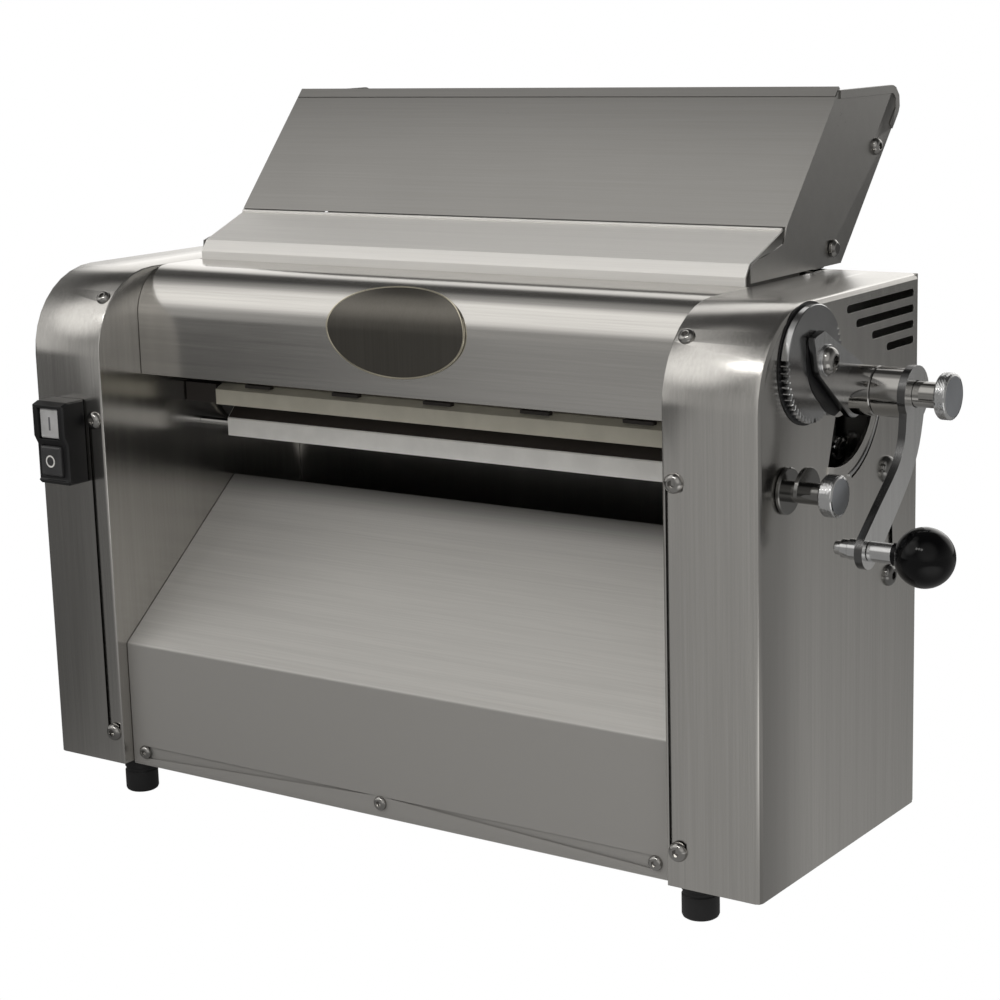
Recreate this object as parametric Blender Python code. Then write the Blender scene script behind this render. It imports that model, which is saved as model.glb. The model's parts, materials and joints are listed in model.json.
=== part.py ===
"""Table-top dough sheeter: two steel towers with a geared roller pair between them,
a hopper above and a chute in front.

X runs along the rollers, the front looks towards -Y, Z is up. Every length is in metres.
Inside this file y = 0 is the front face of the towers and z = 0 is their lower edge.
The last step moves everything so that the middle of the whole box stands at the origin.
"""

import math

import bmesh
import bpy
import numpy as np
from mathutils import Vector

# Main sizes
BODY_W = 0.560
BODY_D = 0.2043
BODY_H = 0.340
TOWER_W = 0.0617
TOWER_ARC = 0.057
TOWER_EDGE = 0.0035
TOWER_INNER_EDGE = 0.0008
SKIN = 0.0015
SHEET = 0.0012
GAP = 0.0003
RUN = 0.00015
CUT_PAST = 0.004
HALF_W = BODY_W / 2
INNER_X = HALF_W - TOWER_W
BETWEEN = INNER_X - GAP
CAVITY_X = INNER_X + SKIN

# Side frames that carry every shaft
FRAME_T = 0.008
FRAME_FRONT = 0.012
FRAME_TOP_DROP = 0.014
FRAME_BACK_GAP = 0.008
FRAME_ARC = 0.046
FRAME_TOP = BODY_H - FRAME_TOP_DROP
FRAME_X = CAVITY_X + GAP
FRAME_OUT = FRAME_X + FRAME_T

# Rollers: the lower one is fixed, the upper one slides along the line of their centres
ROLLER_R = 0.030
ROLLER_IN = 0.0030
ROLLER_EASE = 0.0010
ROLLER_TOP_GAP = 0.0195
SHAFT_R = 0.010
SHAFT_OUT = 0.006
LOWER_DEEP_SHARE = 0.68674
NIP_LEAN = math.radians(48.0)
GAP_LEAST = 0.0005
GAP_MOST = 0.0050
LEVER_BACK = math.radians(-5.0)
LEVER_FORTH = math.radians(110.0)
LEVER_RATE = (GAP_MOST - GAP_LEAST) / (LEVER_FORTH - LEVER_BACK)
GAP_CLOSE = -LEVER_BACK * LEVER_RATE
GAP_OPEN = LEVER_FORTH * LEVER_RATE
REST_OPEN = GAP_LEAST + GAP_CLOSE
OPEN_DIR = (-math.sin(NIP_LEAN), math.cos(NIP_LEAN))
CENTRES = 2 * ROLLER_R + REST_OPEN
ROLLER_HALF = BETWEEN - ROLLER_IN
UPPER_Z = BODY_H - ROLLER_TOP_GAP - ROLLER_R
LOWER_Z = UPPER_Z - CENTRES * OPEN_DIR[1]
LOWER_Y = BODY_D * LOWER_DEEP_SHARE
UPPER_Y = LOWER_Y + CENTRES * OPEN_DIR[0]
BORE_CLEAR = 0.0035

# Adjuster: a toothed wheel on the cam shaft, driven by a pinion on the lever shaft
WHEEL_AHEAD = 0.0382
WHEEL_ABOVE = 0.0145
WHEEL_Y = UPPER_Y - WHEEL_AHEAD
WHEEL_Z = UPPER_Z + WHEEL_ABOVE
FINE_MODULE = 0.00125
FINE_SLACK = 0.0002
WHEEL_TEETH = 52
PLAIN_ANGLES = (30.0, 172.0)
LEVER_TEETH = 21
LEVER_LINE = math.radians(-26.2)
LEVER_DIST = FINE_MODULE * (WHEEL_TEETH + LEVER_TEETH) / 2
LEVER_Y = WHEEL_Y + LEVER_DIST * math.cos(LEVER_LINE)
LEVER_Z = WHEEL_Z + LEVER_DIST * math.sin(LEVER_LINE)
CAM_TURN_SHARE = LEVER_TEETH / WHEEL_TEETH
CAM_RATE = LEVER_RATE / CAM_TURN_SHARE

# Sliding blocks, cam followers and cams
BLOCK_HALF = 0.0195
BLOCK_ALONG = 0.0200
BLOCK_LAP = 0.0007
ARM_T = 0.0035
ARM_REACH = 0.010
ARM_HALF = 0.0075
CAM_SHAFT_R = 0.0045
CAM_SHAFT_END = 0.001
CAM_ROOT = 0.0200
CAM_BACK_R = 0.0110
CAM_T = 0.0060
CAM_MARGIN = math.radians(18.0)
CAM_EASE_SHARE = 0.18
FOLLOWER_R = 0.0055
CAM_NEAR = FRAME_OUT + 2 * GAP + ARM_T
CAM_FAR = CAM_NEAR + CAM_T
BEARING_R = 0.0190
BEARING_OUT = 0.002

# Drive gears in the left tower; the idler has fewer teeth where the rollers lie too low for it
ROLLER_TEETH = 15
IDLER_TEETH_MOST = 33
PINION_TEETH = 12
MODULE = 2 * ROLLER_R / ROLLER_TEETH
TIP_SHARE = 0.94
ROOT_SHARE = 1.18
PRESSURE = math.radians(25.0)
TOOTH_SLACK = 0.00035
GEAR_FACE = 0.014
GEAR_CLEAR = 0.0058
HUB_STEP = 0.004
GEAR_HUB_R = 0.0160
IDLER_HUB_R = 0.0150
PINION_HUB_R = 0.0125
IDLER_PIN_R = 0.007
IDLER_SEAT_R = 0.006
IDLER_FLANGE_R = 0.0095
IDLER_FLANGE_OUT = 0.0060
IDLER_CAP_R = 0.0098
IDLER_CAP_T = 0.0030
IDLER_CLEAR = 0.0068
MOTOR_AHEAD = 0.0003
MOTOR_LEAST_Z = 0.055
DRIVE_SHAFT_R = 0.008
DRIVE_NECK_R = 0.0048
DRIVE_BORE_R = 0.0040
DRIVE_NECK_IN = 0.001
DRIVE_STEP = 0.002
DRIVE_POCKET = 0.020
DRIVE_IN_BOX = 0.016
GEAR_X = -(CAM_FAR + GEAR_CLEAR + HUB_STEP + GEAR_FACE)
TEETH_THAT_FIT = (2 * (LOWER_Z - MOTOR_LEAST_Z) / MODULE - ROLLER_TEETH - PINION_TEETH) / 2
IDLER_TEETH = min(IDLER_TEETH_MOST, int(TEETH_THAT_FIT))
PINION_ARM = MODULE * (PINION_TEETH + IDLER_TEETH) / 2
LOWER_ARM = MODULE * (IDLER_TEETH + ROLLER_TEETH) / 2
IDLER_TIP = MODULE * (IDLER_TEETH / 2 + TIP_SHARE)
IDLER_Y = BODY_D - SKIN - IDLER_CLEAR - IDLER_TIP
IDLER_Z = LOWER_Z - math.sqrt(LOWER_ARM**2 - (LOWER_Y - IDLER_Y) ** 2)
IDLER = (IDLER_Y, IDLER_Z)
MOTOR_Y = LOWER_Y - MOTOR_AHEAD
MOTOR_Z = IDLER_Z - math.sqrt(PINION_ARM**2 - (MOTOR_Y - IDLER_Y) ** 2)

# Front cover and deck, one rolled sheet
COVER_Y = 0.0395
COVER_DROP = 0.072
COVER_R = 0.032
COVER_LIP = 0.009
DECK_AHEAD = 0.0373
DECK_DROP = 0.010
REAR_DECK_W = 0.0163
COVER_FOOT = BODY_H - COVER_DROP
DECK_END = LOWER_Y - DECK_AHEAD
REAR_DECK = BODY_D - REAR_DECK_W

# Chute and front panel, one folded sheet
PANEL_Y = 0.0093
PANEL_FOOT = -0.002
PANEL_RETURN = 0.0034
PANEL_FOLD_R = 0.003
FOLD_Z = 0.0850
CHUTE_AHEAD = 0.0103
CHUTE_TOP_DROP = 0.156
CHUTE_DROP = 0.007
CHUTE_Y = LOWER_Y - CHUTE_AHEAD
CHUTE_Z = BODY_H - CHUTE_TOP_DROP
PANEL_SCREW_R = 0.0046
PANEL_SCREW_H = 0.0026
PANEL_SCREW_UP = 0.0082
PANEL_SCREW_IN = 0.0115
PANEL_SCREW_RIGHT_IN = 0.0130
PANEL_SCREW_MID = -0.0010
PANEL_SCREWS = (-(BETWEEN - PANEL_SCREW_IN), PANEL_SCREW_MID, BETWEEN - PANEL_SCREW_RIGHT_IN)

# Floor tray and back panel
TRAY_SIDE = 0.0011
TRAY_FLOOR = 0.001
TRAY_T = 0.002
TRAY_FLANGE = 0.021
FRAME_SEAT = 0.0004
FRAME_FOOT = TRAY_FLOOR + TRAY_T + FRAME_SEAT
BACK_IN = 0.0005
BACK_FOOT = 0.001
BACK_SLOT_X = 0.040
BACK_SLOT_W = 0.110
BACK_SLOT_H = 0.004
BACK_SLOT_Z = 0.046
BACK_SLOT_STEP = 0.010
BACK_SLOTS = 6
GLAND_R = 0.0080
GLAND_IN = 0.100
GLAND_Z = 0.045
GLAND_X = -(HALF_W - GLAND_IN)

# Motor and gearbox: as large as the room round the drive axis lets them be
MOTOR_FILL_SHARE = 0.8086
CHUTE_ROOM_SHARE = 0.64
MOTOR_START = 0.052
MOTOR_UNIT_L = 0.0505049
GEARBOX_IN = 0.0223
MOTOR_SEAT = 0.0003
MOTOR_PLATE_T = 0.0067
CHUTE_LEAN = math.atan2(CHUTE_Z - FOLD_Z, CHUTE_Y - PANEL_Y)
CHUTE_ROOM = (CHUTE_Z - MOTOR_Z) * math.cos(CHUTE_LEAN) - (CHUTE_Y - MOTOR_Y) * math.sin(CHUTE_LEAN)
MOTOR_ROOM = min(MOTOR_Z - TRAY_FLOOR - TRAY_T, BODY_D - SKIN - MOTOR_Y, CHUTE_ROOM * CHUTE_ROOM_SHARE)
MOTOR_R = MOTOR_ROOM * MOTOR_FILL_SHARE

# Hopper: fixed throat lip and feed tray, hinged guard
LIP_GAP = 0.0006
LIP_IN = 0.0028
LIP_CLEAR = 0.0035
LIP_RUN = 0.0459
LIP_RISE = 0.0290
LIP_KINK_UP = 0.0055
LIP_BROW_SHARES = (0.1176, 0.4483)
LIP_FOLD_R = 0.0015
LIP_Y = DECK_END + LIP_GAP
LIP_FOOT = UPPER_Z + ROLLER_R + LIP_CLEAR
LIP_TOP = (LIP_Y + LIP_RUN, BODY_H + LIP_RISE)
LIP_BROW = (LIP_Y + LIP_RUN * LIP_BROW_SHARES[0], BODY_H + LIP_RISE * LIP_BROW_SHARES[1])
LIP_HALF = BETWEEN - LIP_IN
GUARD_IN = 0.0011
GUARD_FOOT_IN = 0.0030
GUARD_FOOT_UP = 0.0026
GUARD_RISE = 0.1095
GUARD_LIFT = 0.0015
GUARD_TOP_BACK = 0.0167
GUARD_HEEL_BACK = 0.0202
GUARD_REAR = 0.1176
GUARD_CORNER_R = 0.0115
GUARD_HALF = INNER_X - GUARD_IN
GUARD_FOOT = (LIP_TOP[0] + GUARD_FOOT_IN, LIP_TOP[1] + GUARD_FOOT_UP)
GUARD_TOP = (BODY_D + GUARD_TOP_BACK, BODY_H + GUARD_RISE)
GUARD_HEEL = (BODY_D + GUARD_HEEL_BACK, BODY_H + GUARD_LIFT)
GUARD_CORNER = (BODY_D + GUARD_REAR, BODY_H + GUARD_RISE)
TOE_SHARES = ((0.967, 0.724), (0.725, 0.631), (0.222, 0.490), (0.100, 0.431), (0.072, 0.052))
GUARD_TOE = [(LIP_Y + LIP_RUN * y, BODY_H + LIP_RISE * z) for y, z in TOE_SHARES]
CHEEK_SCREW_SHARES = (0.5031, 0.6530)
CHEEK_SCREW_R = 0.0052
CHEEK_SCREW_H = 0.0034
CHEEK_RUN = GUARD_CORNER[0] - GUARD_HEEL[0]
CHEEK_SCREW = (GUARD_HEEL[0] + CHEEK_RUN * CHEEK_SCREW_SHARES[0], BODY_H + GUARD_RISE * CHEEK_SCREW_SHARES[1])
HEM_RUN = 0.012
HEM_W = 0.0052
HEM_T = 0.0009
HEM_UP = 0.0024
BROW_IN_SHARE = 1.3
BROW_T_SHARE = 1.8
HINGE_BACK = 0.0077
HINGE_UP = 0.0120
HINGE_R = 0.003
HINGE_HEAD_R = 0.0056
HINGE_HEAD_H = 0.0036
HINGE_TIP_R = 0.0036
HINGE_END = 0.0015
HINGE_Y = BODY_D + HINGE_BACK
HINGE_Z = BODY_H + HINGE_UP
EAR_T = 0.003
EAR_IN = 0.0017
EAR_R = 0.007
EAR_FRONT = 0.0143
EAR_HEEL = 0.0008
EAR_STEP = 0.008
EAR_X = GUARD_HALF - EAR_IN
TRAY_IN = 0.0085
TRAY_RISE = 0.0980
TRAY_REAR = 0.0932
TRAY_KNEE_BACK = 0.0267
TRAY_KNEE_UP = 0.0140
TRAY_REST_OFF = 0.0045
TRAY_REST_UP = 0.0005
TRAY_END_BACK = 0.0137
TRAY_END_CLEAR = 0.0091
TRAY_FOLD_R = 0.006
TRAY_HALF = BETWEEN - TRAY_IN
TRAY_TOP = (BODY_D + TRAY_REAR, BODY_H + TRAY_RISE)
TRAY_KNEE = (BODY_D + TRAY_KNEE_BACK, BODY_H + TRAY_KNEE_UP)
TRAY_REST = (REAR_DECK - TRAY_REST_OFF, BODY_H + TRAY_REST_UP)
TRAY_END = (LOWER_Y + TRAY_END_BACK, LOWER_Z + ROLLER_R + TRAY_END_CLEAR)

# Scrapers just off their rollers, on rods of their own
SCRAPER_IN = 0.0290
SCRAPER_ROD_R = 0.0025
UPPER_BAR_W = 0.0200
UPPER_BAR_H = 0.0140
UPPER_BAR_AHEAD = 0.0142
UPPER_BAR_BELOW = 0.0039
LOWER_BAR_W = 0.0156
LOWER_BAR_H = 0.0260
LOWER_BAR_OFF = 0.0027
LOWER_BAR_BELOW = 0.0049
UPPER_BAR_SHARES = ((0.0, 0.0), (0.0, 0.764), (0.35, 1.0), (1.0, 1.0), (0.76, 0.564))
LOWER_BAR_SHARES = ((0.0, 0.0), (0.0, 0.4615), (0.8846, 1.0), (1.0, 0.9462), (0.8333, 0.3846), (0.5128, 0.0))
UPPER_ROD_SHARES = (0.28, 0.514)
LOWER_ROD_SHARES = (0.4167, 0.30)
SCRAPER_HALF = BETWEEN - SCRAPER_IN
UPPER_BAR_AT = (UPPER_Y - UPPER_BAR_AHEAD, UPPER_Z - ROLLER_R - UPPER_BAR_BELOW - UPPER_BAR_H)
LOWER_BAR_AT = (LOWER_Y - ROLLER_R - LOWER_BAR_OFF - LOWER_BAR_W, LOWER_Z - LOWER_BAR_BELOW - LOWER_BAR_H)

# Tie rods between the side frames
TIE_R = 0.005
TIE_BACK = 0.0203
TIE_DROP = 0.135
TIE_FRONT = 0.046
TIE_LOW = 0.060
TIE_PLACES = ((BODY_D - TIE_BACK, BODY_H - TIE_DROP), (TIE_FRONT, TIE_LOW))

# Feet
FOOT_R = 0.0114
FOOT_H = 0.026
FOOT_SIDE = 0.0535
FOOT_IN = 0.0245
FOOT_SINK = 0.0007
FOOT_SOLE = 0.0025
FOOT_EASE = 0.0008
FOOT_BEVEL = 0.0009
FOOT_RISE = 0.0028
FOOT_X = HALF_W - FOOT_SIDE

# Switch on the left tower
SWITCH_OFF_SCREW = 0.0022
SWITCH_W = 0.029
SWITCH_H = 0.0565
SWITCH_D = 0.0185
SWITCH_DROP = 0.113
SWITCH_HOOD = 0.0030
SWITCH_EASE = 0.002
SWITCH_SIDE_EASE = 0.0012
SWITCH_HOOD_END = 0.0050
SWITCH_HOOD_FALL = 0.0060
SWITCH_CHIN = 0.0035
SWITCH_CHIN_W = 0.0010
SWITCH_CHIN_OUT = 0.0012
SWITCH_FOOT_EASE = 0.001
SWITCH_BACK = 0.0070
BUTTON_W = 0.0185
BUTTON_H = 0.0205
BUTTON_GAP = 0.0009
BUTTON_TRAVEL = 0.003
BUTTON_SEAT = 0.0006
BUTTON_EASE = 0.0010
START_UP = 0.0135
STOP_DOWN = 0.0120
START_OUT = 0.0012
STOP_OUT = 0.0026
SWITCH_Z = BODY_H - SWITCH_DROP
BUTTON_PLACES = (SWITCH_Z + START_UP, SWITCH_Z - STOP_DOWN)

# Screws that show
HEAD_R = 0.0058
HEAD_H = 0.0034
HEAD_SINK = 0.0009
HEAD_SHARES = ((1.0, 0.40), (0.76, 0.82), (0.36, 1.0))
TOWER_SCREW_IN = 0.0077
TOWER_SCREW_LOW = 0.0222
TOWER_SCREW_DROP = 0.0985
ARC_SCREW = 46.0
ARC_SCREW_SHARES = (0.82, 0.80)
SCREW_HEIGHTS = (TOWER_SCREW_LOW, BODY_H - TOWER_SCREW_DROP)
SWITCH_X = -(INNER_X + TOWER_SCREW_IN + HEAD_R + SWITCH_OFF_SCREW + SWITCH_W / 2)
SIDE_BOLT_SHARES = ((0.7881, 0.6632), (0.8076, 0.4662))
SIDE_BOLT_R = (0.0082, 0.0066)
SIDE_BOLT_H_SHARE = 0.55

# Vents, window and dial line on the right side
VENT_SHARES = (0.5237, 0.5825, 0.6853, 0.7832)
VENT_DROP = 0.0110
VENT_STEP = 0.0096
VENT_BACK = 0.0063
VENT_H = 0.0048
WINDOW_IN = 0.0170
WINDOW_OUT = 0.0465
WINDOW_ANGLES = (-26.0, -108.0)
RIM_W = 0.0045
RIM_T = 0.0009
LINE_R = 0.0580
LINE_W = 0.0016
LINE_ANGLES = (-24.0, -74.0)
VENT_END = BODY_D - VENT_BACK

# Adjuster outside the right tower, each length along X counted from the tower's side
WHEEL_X0 = 0.0008
WHEEL_X1 = 0.0056
WHEEL_PROUD = 0.0002
FACE_SLOT_IN = 0.0165
FACE_SLOT_OUT = 0.0245
FACE_SLOT_ANGLES = (128, 296)
LINK_OFF_WHEEL = 0.0006
LINK_T = 0.0043
LINK_X0 = WHEEL_X1 + LINK_OFF_WHEEL
LINK_X1 = LINK_X0 + LINK_T
LINK_EYE_R = 0.0105
LINK_EYE_BACK = 0.003
LINK_EYE_UP = 0.0015
LINK_CORNER_R = 0.0025
LINK_FRONT_AHEAD = 0.0085
LINK_FRONT_UP = 0.0145
LINK_TOP_BACK = 0.0010
LINK_TOP_UP = 0.0165
LINK_HUB_R = 0.0165
BOLT_R = 0.0082
BOLT_H = 0.0052
BOLT_BACK = 0.001
BOLT_UP = 0.0005
WASHER_R = 0.0094
WASHER_T = 0.0010
WASHER_SINK = 0.0008
HOUSE_L = 0.0145
HUB_X1 = LINK_X1 + HOUSE_L
HUB_R = 0.0145
HUB_EASE = 0.0006
LEVER_HUB_SEAM = 0.0004
LEVER_HUB_L = 0.0180
LEVER_HUB_X0 = HUB_X1 + LEVER_HUB_SEAM
LEVER_HUB_X1 = LEVER_HUB_X0 + LEVER_HUB_L
LEVER_SHAFT_R = 0.008
LEVER_SHAFT_IN = 0.006
LEVER_BORE_R = 0.0050
LEVER_BORE_END = 0.004
ARM_PLATE_T = 0.0051
ARM_X0 = LEVER_HUB_X1
ARM_X1 = ARM_X0 + ARM_PLATE_T
ARM_BOSS_R = 0.0163
ARM_END_R = 0.0105
ARM_BOW_OUT = 0.0130
ARM_HUB_HALF = 0.0125
ARM_GRIP_HALF = 0.0105
ARM_BOW_SHARES = ((0.0, 0.0, 1.0), (0.2, 0.76, 0.0), (0.33, 1.0, -0.5), (0.48, 0.97, -0.7), (0.76, 0.46, -0.2))
HANDLE_AHEAD = 0.0591
HANDLE_BELOW = 0.0793
HANDLE_Y = LEVER_Y - HANDLE_AHEAD
HANDLE_Z = LEVER_Z - HANDLE_BELOW
NECK_L = 0.0155
NECK_X1 = ARM_X1 + NECK_L
NECK_R = 0.0076
KNOB_L = 0.0071
KNOB_X1 = NECK_X1 + KNOB_L
KNOB_R = 0.0137
KNOB_EASE = 0.0009
KNURL_DEEP = 0.0006
KNOB_OVERLAP = 0.0030
INDEX_PIN_R = 0.0042
INDEX_TIP_R = 0.0034
INDEX_TIP_IN = 0.0005
INDEX_TIP_L = 0.0008
SPINDLE_BOLT_R = 0.0040
SPINDLE_R = 0.0058
SPINDLE_IN = 0.0162
SPINDLE_X0 = ARM_X0 - SPINDLE_IN
SPINDLE_TIP_R = 0.0030
SPINDLE_TIP_L = 0.0008
NUT_IN = 0.0116
NUT_X0 = ARM_X0 - NUT_IN
NUT_R = 0.0054
COLLAR_IN = 0.0068
COLLAR_X0 = ARM_X0 - COLLAR_IN
COLLAR_R = 0.0060
SPINDLE_L = 0.0147
SPINDLE_X1 = ARM_X1 + SPINDLE_L
SPINDLE_IN_BALL = 0.0080
BALL_R = 0.0170
BALL_OFF = 0.0181
BALL_X = SPINDLE_X1 + BALL_OFF
BALL_NECK_R = 0.0066
LOCK_Y = 0.0310
LOCK_ABOVE_HANDLE = 0.03094
LOCK_Z = HANDLE_Z + LOCK_ABOVE_HANDLE
LOCK_PIN_R = 0.004
LOCK_PIN_IN = 0.0075
LOCK_TIP_R = 0.0028
LOCK_TIP_L = 0.0010
LOCK_FOOT_R = 0.0135
LOCK_FOOT_EASE = 0.0007
LOCK_FOOT_MID = 0.0016
LOCK_FOOT_T = 0.0030
LOCK_HOUSE_R = 0.0062
LOCK_HOUSE_L = 0.0215
LOCK_TAB_R = 0.0147
LOCK_TAB_OFF = 0.0092
LOCK_TAB_T = 0.0025
LOCK_KNOB_R = 0.0120
LOCK_KNOB_L = 0.0086
LOCK_KNOB_OFF = 0.0012
LOCK_STEM_IN = 0.0028
LOCK_TAB_X0 = LOCK_FOOT_T + LOCK_TAB_OFF
LOCK_HOUSE_X1 = LOCK_FOOT_T + LOCK_HOUSE_L

# Oval plate on the cover and cable entry at the back
BADGE_HALF_X = 0.0545
BADGE_HALF_S = 0.0305
BADGE_X = 0.0015
BADGE_DROP = 0.030
BADGE_Z = BODY_H - BADGE_DROP
BADGE_RIM = 0.0020
BADGE_T = 0.0016
BADGE_DIP = 0.0004
GLAND_BORE_R = 0.0045
GLAND_THREAD_IN = 0.0060
GLAND_STEP = 0.0013
GLAND_HOLE_STEP = 0.0010
GLAND_NUT_R = 0.0110
GLAND_NUT_T = 0.0060
GLAND_CAP_R = 0.0095
GLAND_DOME_R = 0.0090
GLAND_DOME_AT = 0.0150
GLAND_END_R = 0.0075
GLAND_END_AT = 0.0170

STEEL = (0.56, 0.55, 0.53)
DARK_STEEL = (0.33, 0.32, 0.31)
CAST = (0.42, 0.43, 0.44)
CREAM = (0.80, 0.77, 0.66)
BLACK = (0.015, 0.015, 0.016)
GREY = (0.62, 0.62, 0.60)


# %% Scene and material helpers
def clear_scene():
    """Takes every object out of the startup scene."""
    for old in list(bpy.data.objects):
        bpy.data.objects.remove(old, do_unlink=True)


def paint(obj, colour, metallic, rough):
    """Gives the piece a material of its own."""
    look = bpy.data.materials.new(obj.name)
    look.use_nodes = True
    shader = look.node_tree.nodes["Principled BSDF"]
    shader.inputs["Base Color"].default_value = (*colour, 1.0)
    shader.inputs["Metallic"].default_value = metallic
    shader.inputs["Roughness"].default_value = rough
    look.diffuse_color = (*colour, 1.0)
    obj.data.materials.clear()
    obj.data.materials.append(look)
    return obj


def steel(obj):
    return paint(obj, STEEL, 1.0, 0.32)


def polished(obj):
    return paint(obj, STEEL, 1.0, 0.14)


def cast_metal(obj):
    return paint(obj, CAST, 1.0, 0.5)


def black_plastic(obj):
    return paint(obj, BLACK, 0.0, 0.28)


# %% Solid helpers
def solid(name, points, faces):
    """One closed mesh object, with its faces turned outwards and flat edges kept sharp."""
    mesh = bpy.data.meshes.new(name)
    mesh.from_pydata([tuple(p) for p in points], [], faces)
    work = bmesh.new()
    work.from_mesh(mesh)
    bmesh.ops.recalc_face_normals(work, faces=work.faces)
    if work.calc_volume(signed=True) < 0:
        bmesh.ops.reverse_faces(work, faces=work.faces)
    work.to_mesh(mesh)
    work.free()
    obj = bpy.data.objects.new(name, mesh)
    bpy.context.scene.collection.objects.link(obj)
    shade(obj)
    return obj


def shade(obj):
    """Smooth round faces, sharp folds."""
    for face in obj.data.polygons:
        face.use_smooth = True
    obj.data.set_sharp_from_angle(angle=math.radians(31.0))


def loft(name, rings):
    """Skins a list of rings with the same number of points and closes both ends."""
    count = len(rings[0])
    points = [p for ring in rings for p in ring]
    faces = []
    for low in range(len(rings) - 1):
        for k in range(count):
            nxt = (k + 1) % count
            faces.append((low * count + k, low * count + nxt, (low + 1) * count + nxt, (low + 1) * count + k))
    faces.append(tuple(range(count)))
    faces.append(tuple(range((len(rings) - 1) * count, len(rings) * count)))
    return solid(name, points, faces)


def prism(name, outline, x0, x1, edge=0.0):
    """Runs a side outline of (y, z) points along X; edge chamfers both ends of a convex outline."""
    if edge <= 0:
        return loft(name, [[(x, y, z) for y, z in outline] for x in (x0, x1)])
    small = inset(outline, edge)
    rings = [
        [(x0, y, z) for y, z in small],
        [(x0 + edge, y, z) for y, z in outline],
        [(x1 - edge, y, z) for y, z in outline],
        [(x1, y, z) for y, z in small],
    ]
    return loft(name, rings)


def inset(outline, amount):
    """The outline moved inwards by amount, corner by corner."""
    pts = np.array(outline, float)
    area = np.sum(pts[:, 0] * np.roll(pts[:, 1], -1) - np.roll(pts[:, 0], -1) * pts[:, 1])
    turn = 1.0 if area > 0 else -1.0
    before = pts - np.roll(pts, 1, axis=0)
    after = np.roll(pts, -1, axis=0) - pts
    before /= np.linalg.norm(before, axis=1)[:, None]
    after /= np.linalg.norm(after, axis=1)[:, None]
    side_a = np.stack([-before[:, 1], before[:, 0]], axis=1) * turn
    side_b = np.stack([-after[:, 1], after[:, 0]], axis=1) * turn
    middle = side_a + side_b
    middle /= np.linalg.norm(middle, axis=1)[:, None]
    reach = amount / np.maximum(np.sum(middle * side_a, axis=1), 0.35)
    return [tuple(p) for p in pts + middle * reach[:, None]]


def ribbon(path, thick):
    """Closed outline of a bent sheet: the path is one face, the other lies thick to its left."""
    pts = np.array(path, float)
    runs = np.diff(pts, axis=0)
    runs /= np.linalg.norm(runs, axis=1)[:, None]
    sides = np.stack([-runs[:, 1], runs[:, 0]], axis=1)
    other = [pts[0] + sides[0] * thick]
    for k in range(1, len(pts) - 1):
        middle = sides[k - 1] + sides[k]
        middle /= np.linalg.norm(middle)
        other.append(pts[k] + middle * thick / np.dot(middle, sides[k]))
    other.append(pts[-1] + sides[-1] * thick)
    return [tuple(p) for p in pts] + [tuple(p) for p in reversed(other)]


def arc(cy, cz, radius, start, end, steps):
    """Points on an arc in the side view, angles in degrees from +Y towards +Z."""
    out = []
    for k in range(steps + 1):
        a = math.radians(start + (end - start) * k / steps)
        out.append((cy + radius * math.cos(a), cz + radius * math.sin(a)))
    return out


def bend(path, radius, steps=4):
    """Rounds every inner corner of a path with a fold of the given radius."""
    pts = [np.array(p, float) for p in path]
    out = [tuple(pts[0])]
    for before, here, after in zip(pts, pts[1:], pts[2:]):
        u = (before - here) / np.linalg.norm(before - here)
        v = (after - here) / np.linalg.norm(after - here)
        half = math.acos(max(-1.0, min(1.0, float(np.dot(u, v))))) / 2
        if half > math.radians(88.5):
            out.append(tuple(here))
            continue
        room = min(np.linalg.norm(before - here), np.linalg.norm(after - here)) / 2.1
        reach = min(radius / math.tan(half), room)
        used = reach * math.tan(half)
        middle = (u + v) / np.linalg.norm(u + v)
        centre = here + middle * used / math.sin(half)
        a = here + u * reach - centre
        b = here + v * reach - centre
        for k in range(steps + 1):
            share = k / steps
            step = a * (1 - share) + b * share
            out.append(tuple(centre + step / np.linalg.norm(step) * used))
    out.append(tuple(pts[-1]))
    return out


def sheet(name, path, half, fold, thick=SHEET):
    """A folded sheet that runs from -half to +half along X."""
    return prism(name, ribbon(bend(path, fold), thick), -half, half)


def turned(name, profile, centre, axis="X", segments=24):
    """Revolves (distance along, radius) pairs round an axis through centre."""
    rings = []
    points = []
    for along, radius in profile:
        if radius <= 0:
            rings.append([len(points)])
            points.append(place(along, 0.0, 0.0, centre, axis))
            continue
        ring = []
        for k in range(segments):
            a = 2 * math.pi * k / segments
            ring.append(len(points))
            points.append(place(along, radius * math.cos(a), radius * math.sin(a), centre, axis))
        rings.append(ring)
    faces = []
    for low, high in zip(rings, rings[1:]):
        for k in range(segments):
            nxt = (k + 1) % segments
            if len(low) == 1 and len(high) == 1:
                continue
            if len(low) == 1:
                faces.append((low[0], high[nxt], high[k]))
            elif len(high) == 1:
                faces.append((low[k], low[nxt], high[0]))
            else:
                faces.append((low[k], low[nxt], high[nxt], high[k]))
    for end in (rings[0], rings[-1]):
        if len(end) > 1 and rings[0] is not rings[-1]:
            faces.append(tuple(end))
    return solid(name, points, faces)


def place(along, u, v, centre, axis):
    """A point given along and across one of the three axes."""
    cx, cy, cz = centre
    if axis == "X":
        return (cx + along, cy + u, cz + v)
    if axis == "Y":
        return (cx + u, cy + along, cz + v)
    return (cx + u, cy + v, cz + along)


def ring_profile(x0, x1, inner, outer, edge=0.0):
    """Closed profile of a tube, for tube()."""
    if edge <= 0:
        return [(x0, outer), (x1, outer), (x1, inner), (x0, inner)]
    return [
        (x0 + edge, outer),
        (x1 - edge, outer),
        (x1, outer - edge),
        (x1, inner),
        (x0, inner),
        (x0, outer - edge),
    ]


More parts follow.
